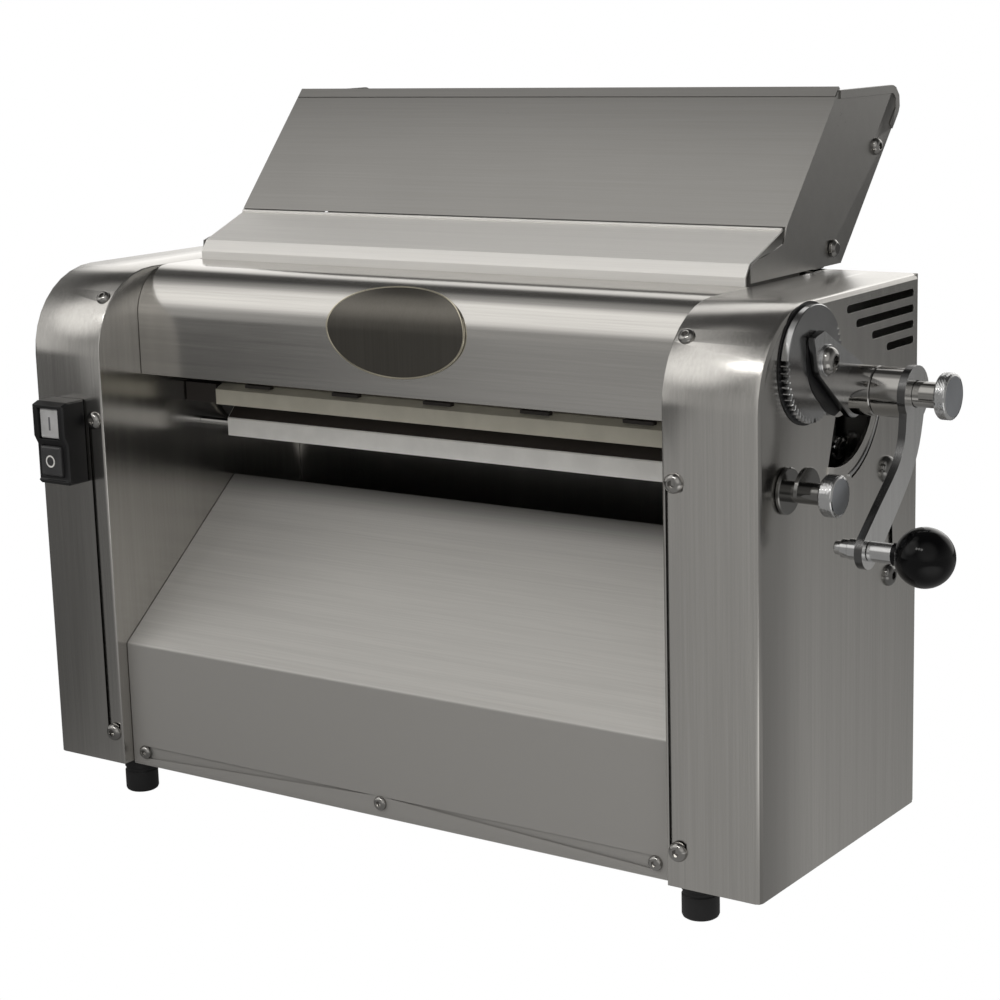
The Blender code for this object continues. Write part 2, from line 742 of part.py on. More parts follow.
def tube(name, profile, centre, axis="X", segments=24):
    """Revolves a closed profile that stays clear of the axis."""
    points = []
    for along, radius in profile:
        for k in range(segments):
            a = 2 * math.pi * k / segments
            points.append(place(along, radius * math.cos(a), radius * math.sin(a), centre, axis))
    faces = []
    rows = len(profile)
    for row in range(rows):
        up = (row + 1) % rows
        for k in range(segments):
            nxt = (k + 1) % segments
            faces.append((row * segments + k, row * segments + nxt, up * segments + nxt, up * segments + k))
    return solid(name, points, faces)


def box(name, low, high, edge=0.0):
    """A box, with its upright edges along X chamfered by edge if given."""
    outline = [(low[1], low[2]), (high[1], low[2]), (high[1], high[2]), (low[1], high[2])]
    return prism(name, outline, low[0], high[0], edge)


def combine(target, others, how):
    """Joins or cuts with exact booleans, then puts the result into the target's own mesh."""
    for other in others:
        step = target.modifiers.new("step", "BOOLEAN")
        step.operation = how
        step.solver = "EXACT"
        step.object = other
    bpy.context.view_layer.update()
    graph = bpy.context.evaluated_depsgraph_get()
    result = bpy.data.meshes.new_from_object(target.evaluated_get(graph))
    target.modifiers.clear()
    target.data = result
    for other in others:
        bpy.data.objects.remove(other, do_unlink=True)
    tidy(target)
    return target


def tidy(obj):
    """Merges points that a boolean left on top of each other."""
    work = bmesh.new()
    work.from_mesh(obj.data)
    bmesh.ops.remove_doubles(work, verts=work.verts, dist=GAP / 150)
    bmesh.ops.dissolve_degenerate(work, edges=work.edges, dist=GAP / 300)
    bmesh.ops.recalc_face_normals(work, faces=work.faces)
    work.to_mesh(obj.data)
    work.free()
    shade(obj)


def cut(target, *others):
    return combine(target, others, "DIFFERENCE")


def join(target, *others):
    return combine(target, others, "UNION")


def hole(radius, x0, x1, y, z):
    """A drill along X for a clearance hole."""
    return rod(radius, x0, x1, y, z, 12)


def rod(radius, x0, x1, y, z, segments=20):
    """A plain cylinder along X, used as a pin or as a drill."""
    return turned("rod", [(x0, radius), (x1, radius)], (0.0, y, z), "X", segments)


def origin_at(obj, point):
    """Puts the object's origin on its joint."""
    shift = Vector(point)
    for vertex in obj.data.vertices:
        vertex.co -= shift
    obj.location = shift
    return obj


def slot_outline(cy, cz, direction, back, forth, radius, steps=6):
    """Round-ended slot in the side view, from back to forth along a direction."""
    ang = math.degrees(math.atan2(direction[1], direction[0]))
    far = (cy + direction[0] * forth, cz + direction[1] * forth)
    near = (cy - direction[0] * back, cz - direction[1] * back)
    out = arc(far[0], far[1], radius, ang - 90, ang + 90, steps)
    out += arc(near[0], near[1], radius, ang + 90, ang + 270, steps)
    return out


def ring_slot(cy, cz, inner, outer, start, end, steps=9):
    """Curved slot between two radii about a centre."""
    out = arc(cy, cz, outer, start, end, steps)
    out += arc(cy, cz, inner, end, start, steps)
    return out


def dome(x, y, z, axis, sign, radius=HEAD_R, height=HEAD_H, segments=10):
    """Round screw head, its seat sunk a little so that it joins what carries it."""
    profile = [(-HEAD_SINK * sign, radius)]
    profile += [(height * up * sign, radius * out) for out, up in HEAD_SHARES]
    return turned("head", profile, (x, y, z), axis, segments)


# %% Gears
def tooth_half(base, radius, pitch_half, pitch_inv, slack_turn):
    """Half the tooth's angle at a radius on the involute."""
    if radius <= base:
        return pitch_half + pitch_inv - slack_turn
    lean = math.acos(base / radius)
    return pitch_half + pitch_inv - (math.tan(lean) - lean) - slack_turn


def gear_outline(cy, cz, module, teeth, phase, slack=TOOTH_SLACK, plain=(0.0, 0.0)):
    """Involute outline in the side view, one tooth centred on phase; its rim is smooth over plain degrees."""
    pitch = module * teeth / 2
    base = pitch * math.cos(PRESSURE)
    tip = pitch + module * TIP_SHARE
    root = pitch - module * ROOT_SHARE
    pitch_half = math.pi / (2 * teeth)
    pitch_inv = math.tan(PRESSURE) - PRESSURE
    slack_turn = slack / (2 * pitch)
    flank = [(r, tooth_half(base, r, pitch_half, pitch_inv, slack_turn)) for r in (root, tip)]
    out = []
    for tooth in range(teeth):
        middle = phase + 2 * math.pi * tooth / teeth
        smooth = plain[0] < math.degrees(middle) % 360 < plain[1]
        halves = [(tip, pitch_half)] if smooth else flank
        for r, h in halves:
            out.append((cy + r * math.cos(middle - h), cz + r * math.sin(middle - h)))
        for r, h in reversed(halves):
            out.append((cy + r * math.cos(middle + h), cz + r * math.sin(middle + h)))
    return out


def mesh_phase(phase, teeth, direction, other_teeth):
    """Phase of a gear that meets the first one across the given direction."""
    here = (direction - phase) * teeth
    return direction + math.pi - (math.pi - here) / other_teeth


def direction_of(a, b):
    return math.atan2(b[1] - a[1], b[0] - a[0])


# %% Towers
def tower_outline(less, drop=0.0, past=0.0):
    """Side outline of a tower, moved inwards by less and lengthened at the open bottom and back."""
    arc_y = TOWER_ARC
    arc_z = BODY_H - TOWER_ARC
    back = BODY_D - SKIN - GAP + past
    out = [(back, -drop), (less, -drop)]
    out += arc(arc_y, arc_z, TOWER_ARC - less, 180, 90, 9)
    out += [(back, BODY_H - less)]
    return out


def tower_shell(name, side):
    """Bent steel box, open at the bottom and the back, with eased upright edges."""
    steps = 2
    rings = []
    for k in range(steps + 1):
        a = math.radians(90 * k / steps)
        less = TOWER_INNER_EDGE * (1 - math.sin(a))
        x = INNER_X + TOWER_INNER_EDGE * (1 - math.cos(a))
        rings.append([(side * x, y, z) for y, z in tower_outline(less)])
    for k in range(steps + 1):
        a = math.radians(90 * k / steps)
        less = TOWER_EDGE * (1 - math.cos(a))
        x = HALF_W - TOWER_EDGE * (1 - math.sin(a))
        rings.append([(side * x, y, z) for y, z in tower_outline(less)])
    shell = loft(name, rings)
    hollow = []
    for k in range(steps + 1):
        a = math.radians(90 * k / steps)
        less = SKIN + (TOWER_EDGE - SKIN) * (1 - math.cos(a))
        x = HALF_W - SKIN - (TOWER_EDGE - SKIN) * (1 - math.sin(a))
        hollow.append([(side * x, y, z) for y, z in tower_outline(less, CUT_PAST, CUT_PAST)])
    hollow.insert(0, [(side * CAVITY_X, y, z) for y, z in tower_outline(SKIN, CUT_PAST, CUT_PAST)])
    tools = [loft("hollow", hollow)]
    inner = sorted((side * (INNER_X - CUT_PAST), side * (CAVITY_X + CUT_PAST / 2)))
    way_top = TRAY_FLOOR + TRAY_T + 5 * GAP
    low = (inner[0], PANEL_Y + SHEET, -CUT_PAST)
    tools.append(box("base way", low, (inner[1], BODY_D + CUT_PAST, way_top)))
    way = slot_outline(UPPER_Y, UPPER_Z, OPEN_DIR, GAP_CLOSE, GAP_OPEN, SHAFT_R + BORE_CLEAR)
    tools.append(prism("upper way", way, *inner))
    tools.append(hole(SHAFT_R + BORE_CLEAR, *inner, LOWER_Y, LOWER_Z))
    tools.append(hole(CAM_SHAFT_R + BORE_CLEAR / 2, *inner, WHEEL_Y, WHEEL_Z))
    for y, z in TIE_PLACES:
        tools.append(hole(TIE_R + BORE_CLEAR / 2, *inner, y, z))
    return shell, tools


def tower_screws(side):
    """Three dome heads near the inner edge of a tower front, the top one on its round corner."""
    x = side * (INNER_X + TOWER_SCREW_IN)
    heads = [dome(x, 0.0, z, "Y", -1) for z in SCREW_HEIGHTS]
    small, flat = ARC_SCREW_SHARES
    top = dome(x, 0.0, 0.0, "Y", -1, radius=HEAD_R * small, height=HEAD_H * flat)
    turn = -math.radians(90 - ARC_SCREW)
    for vertex in top.data.vertices:
        y = vertex.co.y - TOWER_ARC
        z = vertex.co.z
        vertex.co.y = TOWER_ARC + y * math.cos(turn) - z * math.sin(turn)
        vertex.co.z = BODY_H - TOWER_ARC + y * math.sin(turn) + z * math.cos(turn)
    heads.append(top)
    return heads


def left_tower():
    shell, tools = tower_shell("left_tower", -1)
    inner = (-CAVITY_X - CUT_PAST / 2, -INNER_X + CUT_PAST)
    tools.append(hole(DRIVE_SHAFT_R + BORE_CLEAR, *inner, MOTOR_Y, MOTOR_Z))
    cut(shell, *tools)
    join(shell, *tower_screws(-1))
    return steel(shell)


def right_tower():
    """The side with the vents, the window round the lever shaft and the shaft holes."""
    shell, tools = tower_shell("right_tower", 1)
    outer = (HALF_W - SKIN - CUT_PAST / 2, HALF_W + CUT_PAST)
    half = VENT_H / 2
    for k, share in enumerate(VENT_SHARES):
        run = VENT_END - VENT_H - BODY_D * share
        z = BODY_H - VENT_DROP - k * VENT_STEP
        vent = slot_outline(VENT_END - half, z, (1.0, 0.0), run, 0.0, half, 4)
        tools.append(prism("vent", vent, *outer))
    tools.append(hole(CAM_SHAFT_R + BORE_CLEAR / 2, *outer, WHEEL_Y, WHEEL_Z))
    tools.append(hole(LEVER_SHAFT_R + BORE_CLEAR / 2, *outer, LEVER_Y, LEVER_Z))
    window = ring_slot(LEVER_Y, LEVER_Z, WINDOW_IN, WINDOW_OUT, *WINDOW_ANGLES)
    tools.append(prism("window", window, *outer))
    line = ring_slot(LEVER_Y, LEVER_Z, LINE_R - LINE_W / 2, LINE_R + LINE_W / 2, *LINE_ANGLES)
    tools.append(prism("line", line, *outer))
    tools.append(hole(LOCK_PIN_R + BORE_CLEAR / 2, *outer, LOCK_Y, LOCK_Z))
    cut(shell, *tools)
    face = HALF_W
    rim = ring_slot(LEVER_Y, LEVER_Z, WINDOW_OUT, WINDOW_OUT + RIM_W, *WINDOW_ANGLES)
    extras = [prism("rim", rim, face - SKIN / 2, face + RIM_T)]
    for (y, z), r in zip(SIDE_BOLT_SHARES, SIDE_BOLT_R):
        extras.append(dome(face, BODY_D * y, BODY_H * z, "X", 1, radius=r, height=r * SIDE_BOLT_H_SHARE))
    join(shell, *extras, *tower_screws(1))
    return steel(shell)

# %% Frames, tray, panels
def frame_outline():
    top = FRAME_TOP
    out = [(BODY_D - FRAME_BACK_GAP, FRAME_FOOT), (FRAME_FRONT, FRAME_FOOT)]
    out += arc(FRAME_FRONT + FRAME_ARC, top - FRAME_ARC, FRAME_ARC, 180, 90, 5)
    out += [(BODY_D - FRAME_BACK_GAP, top)]
    return out


def block_outline(extra_along=0.0, extra_back=0.0, extra_side=0.0):
    """Square bearing block, turned so that it slides along the line of centres."""
    u = np.array(OPEN_DIR)
    v = np.array((-u[1], u[0]))
    c = np.array((UPPER_Y, UPPER_Z))
    up = BLOCK_ALONG + extra_along
    low = BLOCK_ALONG + extra_back
    w = BLOCK_HALF + extra_side
    corners = [c + u * up - v * w, c + u * up + v * w, c - u * low + v * w, c - u * low - v * w]
    return [tuple(p) for p in corners]


def side_frame(name, side):
    """Thick plate with a slot for the sliding block and bores for the fixed shafts."""
    x = sorted((side * FRAME_X, side * FRAME_OUT))
    plate = prism(name, frame_outline(), *x)
    drill = (x[0] - CUT_PAST, x[1] + CUT_PAST)
    guide = block_outline(GAP_OPEN + GAP, GAP_CLOSE + GAP, GAP)
    tools = [prism("guide", guide, *drill)]
    tools.append(rod(BEARING_R + GAP, *drill, LOWER_Y, LOWER_Z, 24))
    tools.append(rod(CAM_SHAFT_R + GAP, *drill, WHEEL_Y, WHEEL_Z))
    if side < 0:
        tools.append(hole(DRIVE_SHAFT_R + BORE_CLEAR / 2, *drill, MOTOR_Y, MOTOR_Z))
        tools.append(rod(IDLER_SEAT_R + GAP, *drill, *IDLER))
    cut(plate, *tools)
    return cast_metal(plate)

def base_tray():
    """Floor between the towers and under them, with a flange up at the front and the back between them."""
    front = PANEL_Y + SHEET + GAP
    back = BODY_D - SKIN - GAP
    wide = HALF_W - SKIN - TRAY_SIDE
    floor = box("base_tray", (-wide, front, TRAY_FLOOR), (wide, back, TRAY_FLOOR + TRAY_T))
    flanges = [
        box("flange", (-BETWEEN, y, TRAY_FLOOR), (BETWEEN, y + TRAY_T, TRAY_FLANGE))
        for y in (front, back - TRAY_T)
    ]
    join(floor, *flanges)
    return steel(floor)


def front_cover():
    """Cover and deck rolled from one sheet, with a return under the cover and a flange at the throat."""
    path = [(COVER_Y + COVER_LIP, COVER_FOOT), (COVER_Y, COVER_FOOT)]
    path += arc(COVER_Y + COVER_R, BODY_H - COVER_R, COVER_R, 180, 90, 10)
    path += [(DECK_END, BODY_H), (DECK_END, BODY_H - DECK_DROP)]
    path.reverse()
    cover = prism("front_cover", ribbon(path, SHEET), -BETWEEN, BETWEEN)
    return steel(cover)


def chute_panel():
    """Front panel and sloping chute folded from one sheet."""
    path = [
        (PANEL_Y + PANEL_RETURN, PANEL_FOOT),
        (PANEL_Y, PANEL_FOOT),
        (PANEL_Y, FOLD_Z),
        (CHUTE_Y, CHUTE_Z),
        (CHUTE_Y + CHUTE_DROP / 2, CHUTE_Z - CHUTE_DROP),
    ]
    path.reverse()
    panel = prism("chute_panel", ribbon(bend(path, PANEL_FOLD_R), SHEET), -BETWEEN, BETWEEN)
    size = {"radius": PANEL_SCREW_R, "height": PANEL_SCREW_H}
    heads = [dome(x, PANEL_Y, PANEL_SCREW_UP, "Y", -1, **size) for x in PANEL_SCREWS]
    join(panel, *heads)
    return steel(panel)


def back_panel():
    """Full-width back sheet with cooling slots and a short deck flange between the towers."""
    y0 = BODY_D - SKIN
    wide = HALF_W - BACK_IN
    plate = box("back_panel", (-wide, y0, BACK_FOOT), (wide, BODY_D, BODY_H - GAP))
    flange = box("flange", (-BETWEEN, REAR_DECK, BODY_H - SHEET), (BETWEEN, BODY_D - SKIN / 2, BODY_H))
    join(plate, flange)
    slots = []
    for k in range(BACK_SLOTS):
        z = BACK_SLOT_Z + k * BACK_SLOT_STEP
        low = (BACK_SLOT_X, y0 - CUT_PAST, z)
        slots.append(box("slot", low, (BACK_SLOT_X + BACK_SLOT_W, BODY_D + CUT_PAST, z + BACK_SLOT_H)))
    bore = GLAND_R - GLAND_HOLE_STEP
    gland = turned("hole", [(-CUT_PAST, bore), (CUT_PAST, bore)], (GLAND_X, BODY_D, GLAND_Z), "Y", 20)
    cut(plate, *slots, gland)
    return steel(plate)


def throat_lip():
    path = [(LIP_Y, LIP_FOOT), (LIP_Y, BODY_H + LIP_KINK_UP), LIP_BROW, LIP_TOP]
    path.reverse()
    return steel(sheet("throat_lip", path, LIP_HALF, LIP_FOLD_R))


def feed_tray():
    """Back wall of the hopper, which leads the dough down to the nip."""
    return steel(sheet("feed_tray", [TRAY_TOP, TRAY_KNEE, TRAY_REST, TRAY_END], TRAY_HALF, TRAY_FOLD_R))


# %% Hopper guard
def guard_back():
    """Rear edge of a cheek from the heel up, round the corner and along the top to the front plate."""
    return bend([GUARD_HEEL, GUARD_CORNER, GUARD_TOP], GUARD_CORNER_R, 6)


def guard():
    """Front plate and two cheeks folded from one sheet, open below, behind and above."""
    shell = prism("guard", [GUARD_FOOT, *GUARD_TOE, *guard_back()], -GUARD_HALF, GUARD_HALF)
    foot_point = np.array(GUARD_FOOT)
    top = np.array(GUARD_TOP)
    run = (top - foot_point) / np.linalg.norm(top - foot_point)
    inward = np.array((run[1], -run[0]))
    low_in = foot_point + inward * SHEET
    top_in = top + inward * SHEET + run * CUT_PAST
    front = GUARD_TOE[-1][0] - CUT_PAST
    back = GUARD_CORNER[0] + CUT_PAST
    below = GUARD_HEEL[1] - CUT_PAST
    hollow = [(front, below), (back, below), (back, top_in[1])]
    hollow += [tuple(top_in), tuple(low_in), (front, low_in[1])]
    tools = [prism("hollow", hollow, -GUARD_HALF + SHEET, GUARD_HALF - SHEET)]
    tools.append(rod(HINGE_R + GAP, -GUARD_HALF - CUT_PAST, GUARD_HALF + CUT_PAST, HINGE_Y, HINGE_Z, 20))
    cut(shell, *tools)
    join(shell, *guard_trim(top, run, inward))
    origin_at(shell, (0.0, HINGE_Y, HINGE_Z))
    return steel(shell)


def guard_trim(top, run, inward):
    """Turned-over hems along the cheeks and the plate's top, and the dome screws on the cheeks."""
    back = [np.array(p) for p in guard_back()]
    start = back[1] + (back[0] - back[1]) / np.linalg.norm(back[0] - back[1]) * HEM_RUN
    path = [tuple(start)] + [tuple(p) for p in back[1:-1]] + [(top[0] + HEM_T, top[1])]
    strip = hem_strip(path)
    size = {"radius": CHEEK_SCREW_R, "height": CHEEK_SCREW_H}
    extras = []
    for side in (-1, 1):
        x = sorted((side * (GUARD_HALF - SHEET / 2), side * (GUARD_HALF + HEM_T)))
        extras.append(prism("hem", strip, *x))
        extras.append(dome(side * GUARD_HALF, *CHEEK_SCREW, "X", side, **size))
    deep = inward * SHEET * BROW_IN_SHARE
    edge = [tuple(top - run * HEM_W + deep), tuple(top + run * HEM_UP + deep)]
    wide = GUARD_HALF - SHEET / 2
    extras.append(prism("brow", ribbon(edge, SHEET * BROW_T_SHARE), -wide, wide))
    return extras


def hem_strip(path):
    """The band just inside the path, HEM_W wide."""
    pair = ribbon(path, GAP / 2)
    inner = pair[len(path) :][::-1]
    return ribbon(inner, HEM_W)


def guard_bracket(name, side):
    """Ear on the deck flange that carries one hinge screw."""
    x = sorted((side * (EAR_X - EAR_T), side * EAR_X))
    foot_z = BODY_H + GAP
    outline = [(BODY_D - EAR_FRONT, foot_z), (BODY_D - EAR_HEEL, foot_z)]
    outline += arc(HINGE_Y, HINGE_Z, EAR_R, -60, 120, 10)
    outline += [(BODY_D - EAR_FRONT, BODY_H + EAR_STEP)]
    ear = prism(name, outline, *x)
    cut(ear, rod(HINGE_R + GAP, x[0] - CUT_PAST, x[1] + CUT_PAST, HINGE_Y, HINGE_Z, 20))
    return steel(ear)


def hinge_screw(name, side):
    """Shoulder screw through a cheek into its ear."""
    head = GUARD_HALF + GAP
    profile = [
        (side * (EAR_X - EAR_T - HINGE_END), HINGE_R),
        (side * head, HINGE_R),
        (side * head, HINGE_HEAD_R),
        (side * (head + HINGE_HEAD_H / 2), HINGE_HEAD_R),
        (side * (head + HINGE_HEAD_H), HINGE_TIP_R),
    ]
    screw = turned(name, profile, (0.0, HINGE_Y, HINGE_Z), "X", 14)
    return polished(screw)


# %% Rollers, blocks and shafts
def roller(name, y, z, left_end, right_end):
    """Steel roller with a stepped shaft."""
    half = ROLLER_HALF
    ease = ROLLER_EASE
    profile = [
        (left_end, SHAFT_R - ease),
        (left_end + ease, SHAFT_R),
        (-half, SHAFT_R),
        (-half, ROLLER_R - ease),
        (-half + ease, ROLLER_R),
        (half - ease, ROLLER_R),
        (half, ROLLER_R - ease),
        (half, SHAFT_R),
        (right_end - ease, SHAFT_R),
        (right_end, SHAFT_R - ease),
    ]
    body = turned(name, profile, (0.0, y, z), "X", 24)
    origin_at(body, (0.0, y, z))
    return polished(body)


def follower_place():
    """The follower pin sits on the line through the cam shaft that runs along the sliding direction."""
    reach = CAM_ROOT + FOLLOWER_R + GAP
    return (WHEEL_Y - OPEN_DIR[0] * reach, WHEEL_Z - OPEN_DIR[1] * reach)


def sliding_block(name, side):
    """Bearing block with a short arm that holds the cam follower pin."""
    x = sorted((side * FRAME_X, side * (FRAME_OUT + GAP + BLOCK_LAP)))
    block = prism(name, block_outline(), *x)
    plate = sorted((side * (FRAME_OUT + GAP), side * (FRAME_OUT + GAP + ARM_T)))
    fy, fz = follower_place()
    u = (UPPER_Y - fy, UPPER_Z - fz)
    size = math.hypot(*u)
    u = (u[0] / size, u[1] / size)
    arm = prism("arm", slot_outline(fy, fz, u, 0.0, ARM_REACH, ARM_HALF), *plate)
    pin_x = sorted((side * (FRAME_OUT + GAP + ARM_T / 2), side * (CAM_FAR)))
    pin = rod(FOLLOWER_R, *pin_x, fy, fz, 20)
    join(block, arm, pin)
    bore = sorted((side * (FRAME_X - CUT_PAST), side * (CAM_FAR + CUT_PAST)))
    cut(block, rod(SHAFT_R + RUN, *bore, UPPER_Y, UPPER_Z, 24))
    return cast_metal(block)


def bearing(name, side):
    """Bearing ring of the fixed roller, seated in its frame."""
    x = sorted((side * FRAME_X, side * (FRAME_OUT + BEARING_OUT)))
    profile = ring_profile(x[0], x[1], SHAFT_R + RUN, BEARING_R, 0.0)
    ring = tube(name, profile, (0.0, LOWER_Y, LOWER_Z), "X", 24)
    return polished(ring)


def cam_points(phase_line):
    """Face of a snail cam: it keeps the same small clearance to the follower at every setting."""
    reach = CAM_ROOT + FOLLOWER_R + GAP
    out = []
    fall = LEVER_FORTH * CAM_TURN_SHARE + CAM_MARGIN
    rise = -LEVER_BACK * CAM_TURN_SHARE + CAM_MARGIN
    steps = 12
    for k in range(steps + 1):
        turn = -fall + (fall + rise) * k / steps
        rate = CAM_RATE
        pitch = reach + rate * turn
        slope = math.atan2(rate, pitch)
        ang = phase_line - turn
        far = FOLLOWER_R + GAP
        nx = math.cos(ang) * pitch - far * math.cos(ang + slope)
        nz = math.sin(ang) * pitch - far * math.sin(ang + slope)
        out.append((WHEEL_Y + nx, WHEEL_Z + nz))
    return out


def cam_outline():
    """The working face closed behind by a plain round back."""
    line = math.atan2(-OPEN_DIR[1], -OPEN_DIR[0])
    face = cam_points(line)
    first = np.array(face[0]) - np.array((WHEEL_Y, WHEEL_Z))
    last = np.array(face[-1]) - np.array((WHEEL_Y, WHEEL_Z))
    a_last = math.atan2(last[1], last[0])
    a_first = math.atan2(first[1], first[0])
    while a_last < a_first:
        a_last += 2 * math.pi
    r_last = float(np.linalg.norm(last))
    r_first = float(np.linalg.norm(first))
    a_last -= 2 * math.pi
    back = []
    steps = 10
    sweep = (a_first - a_last) - 2 * math.pi
    low = CAM_BACK_R
    for k in range(1, steps):
        share = k / steps
        blend = min(1.0, share / CAM_EASE_SHARE, (1 - share) / CAM_EASE_SHARE)
        plain = r_last * (1 - share) + r_first * share
        r = plain * (1 - blend) + low * blend
        a = a_last + sweep * share
        back.append((WHEEL_Y + r * math.cos(a), WHEEL_Z + r * math.sin(a)))
    return face + back



def cam_shaft():
    """Cross shaft with a snail cam at each end; its right end carries the toothed wheel."""
    end = HALF_W + WHEEL_X1 + WHEEL_PROUD
    shaft = rod(CAM_SHAFT_R, -(CAM_FAR + 2 * GAP + CAM_SHAFT_END), end, WHEEL_Y, WHEEL_Z, 20)
    shaft.name = "cam_shaft"
    cams = []
    for side in (-1, 1):
        x = sorted((side * CAM_NEAR, side * CAM_FAR))
        cams.append(prism("cam", cam_outline(), *x))
    join(shaft, *cams)
    origin_at(shaft, (0.0, WHEEL_Y, WHEEL_Z))
    return cast_metal(shaft)


# %% Adjuster outside the right tower
def toothed_wheel():
    """Wheel on the cam shaft, toothed as far as it turns, with a curved window in its face."""
    phase = LEVER_LINE
    outline = gear_outline(WHEEL_Y, WHEEL_Z, FINE_MODULE, WHEEL_TEETH, phase, FINE_SLACK, PLAIN_ANGLES)
    x = (HALF_W + WHEEL_X0, HALF_W + WHEEL_X1)
    wheel = prism("toothed_wheel", outline, *x)
    drill = (x[0] - CUT_PAST, x[1] + CUT_PAST)
    window = ring_slot(WHEEL_Y, WHEEL_Z, FACE_SLOT_IN, FACE_SLOT_OUT, *FACE_SLOT_ANGLES, 10)
    cut(wheel, rod(CAM_SHAFT_R + GAP / 2, *drill, WHEEL_Y, WHEEL_Z), prism("window", window, *drill))
    origin_at(wheel, (0.0, WHEEL_Y, WHEEL_Z))
    return cast_metal(wheel)


def hull(points):
    """Convex outline round a set of points."""
    pts = sorted(set(points))
    out = []
    for order in (pts, pts[::-1]):
        part = []
        for p in order:
            while len(part) > 1:
                a = part[-1]
                b = part[-2]
                turn = (a[0] - b[0]) * (p[1] - b[1]) - (a[1] - b[1]) * (p[0] - b[0])
                if turn > 0:
                    break
                part.pop()
            part.append(p)
        out += part[:-1]
    return out


def link_plate():
    """Fixed plate that ties the wheel bolt to the lever housing, with the bolt head on it."""
    front = (WHEEL_Y - LINK_FRONT_AHEAD, WHEEL_Z + LINK_FRONT_UP)
    above = (WHEEL_Y + LINK_TOP_BACK, WHEEL_Z + LINK_TOP_UP)
    shape = arc(WHEEL_Y + LINK_EYE_BACK, WHEEL_Z + LINK_EYE_UP, LINK_EYE_R, 0, 360, 16)
    shape += arc(*front, LINK_CORNER_R, 0, 360, 8)
    shape += arc(*above, LINK_CORNER_R, 0, 360, 8)
    shape += arc(LEVER_Y, LEVER_Z, LINK_HUB_R, 0, 360, 24)
    x = (HALF_W + LINK_X0, HALF_W + LINK_X1)
    plate = prism("link_plate", hull(shape), *x)
    cut(plate, rod(LEVER_SHAFT_R + GAP, x[0] - CUT_PAST, x[1] + CUT_PAST, LEVER_Y, LEVER_Z))
    spot = (WHEEL_Y + BOLT_BACK, WHEEL_Z + BOLT_UP)
    bolt = dome(x[1], *spot, "X", 1, radius=BOLT_R, height=BOLT_H, segments=16)
    washer = rod(WASHER_R, x[1] - WASHER_SINK, x[1] + WASHER_T, *spot, 16)
    profile = ring_profile(x[1] - WASHER_SINK, HALF_W + HUB_X1, LEVER_SHAFT_R + GAP / 2, HUB_R, HUB_EASE)
    house = tube("house", profile, (0.0, LEVER_Y, LEVER_Z), "X", 20)
    join(plate, bolt, washer, house)
    return polished(plate)


def lever_shaft():
    """Shaft through the housing, with the pinion at its inner end and the lever's own hub outside."""
    start = HALF_W - LEVER_SHAFT_IN
    face = HALF_W
    profile = [
        (start, LEVER_SHAFT_R),
        (face + LEVER_HUB_X0, LEVER_SHAFT_R),
        (face + LEVER_HUB_X0, HUB_R - HUB_EASE),
        (face + LEVER_HUB_X0 + HUB_EASE, HUB_R),
        (face + LEVER_HUB_X1 - HUB_EASE, HUB_R),
        (face + LEVER_HUB_X1, HUB_R - HUB_EASE),
    ]
    shaft = turned("lever_shaft", profile, (0.0, LEVER_Y, LEVER_Z), "X", 24)
    phase = mesh_phase(LEVER_LINE, WHEEL_TEETH, LEVER_LINE, LEVER_TEETH)
    outline = gear_outline(LEVER_Y, LEVER_Z, FINE_MODULE, LEVER_TEETH, phase, FINE_SLACK)
    join(shaft, prism("pinion", outline, face + WHEEL_X0, face + WHEEL_X1))
    bore = rod(LEVER_BORE_R, start + LEVER_BORE_END, face + LEVER_HUB_X1 + CUT_PAST, LEVER_Y, LEVER_Z, 16)
    cut(shaft, bore)
    origin_at(shaft, (0.0, LEVER_Y, LEVER_Z))
    return polished(shaft)


def smooth_line(points, steps=3):
    """Rounded line through points by the Catmull-Rom rule."""
    pts = [np.array(p, float) for p in points]
    pts = [pts[0] * 2 - pts[1]] + pts + [pts[-1] * 2 - pts[-2]]
    out = []
    for a, b, c, d in zip(pts, pts[1:], pts[2:], pts[3:]):
        for k in range(steps):
            t = k / steps
            bent = (2 * a - 5 * b + 4 * c - d) * t**2 + (3 * b - a - 3 * c + d) * t**3
            out.append((2 * b + (c - a) * t + bent) / 2)
    out.append(pts[-2])
    return out


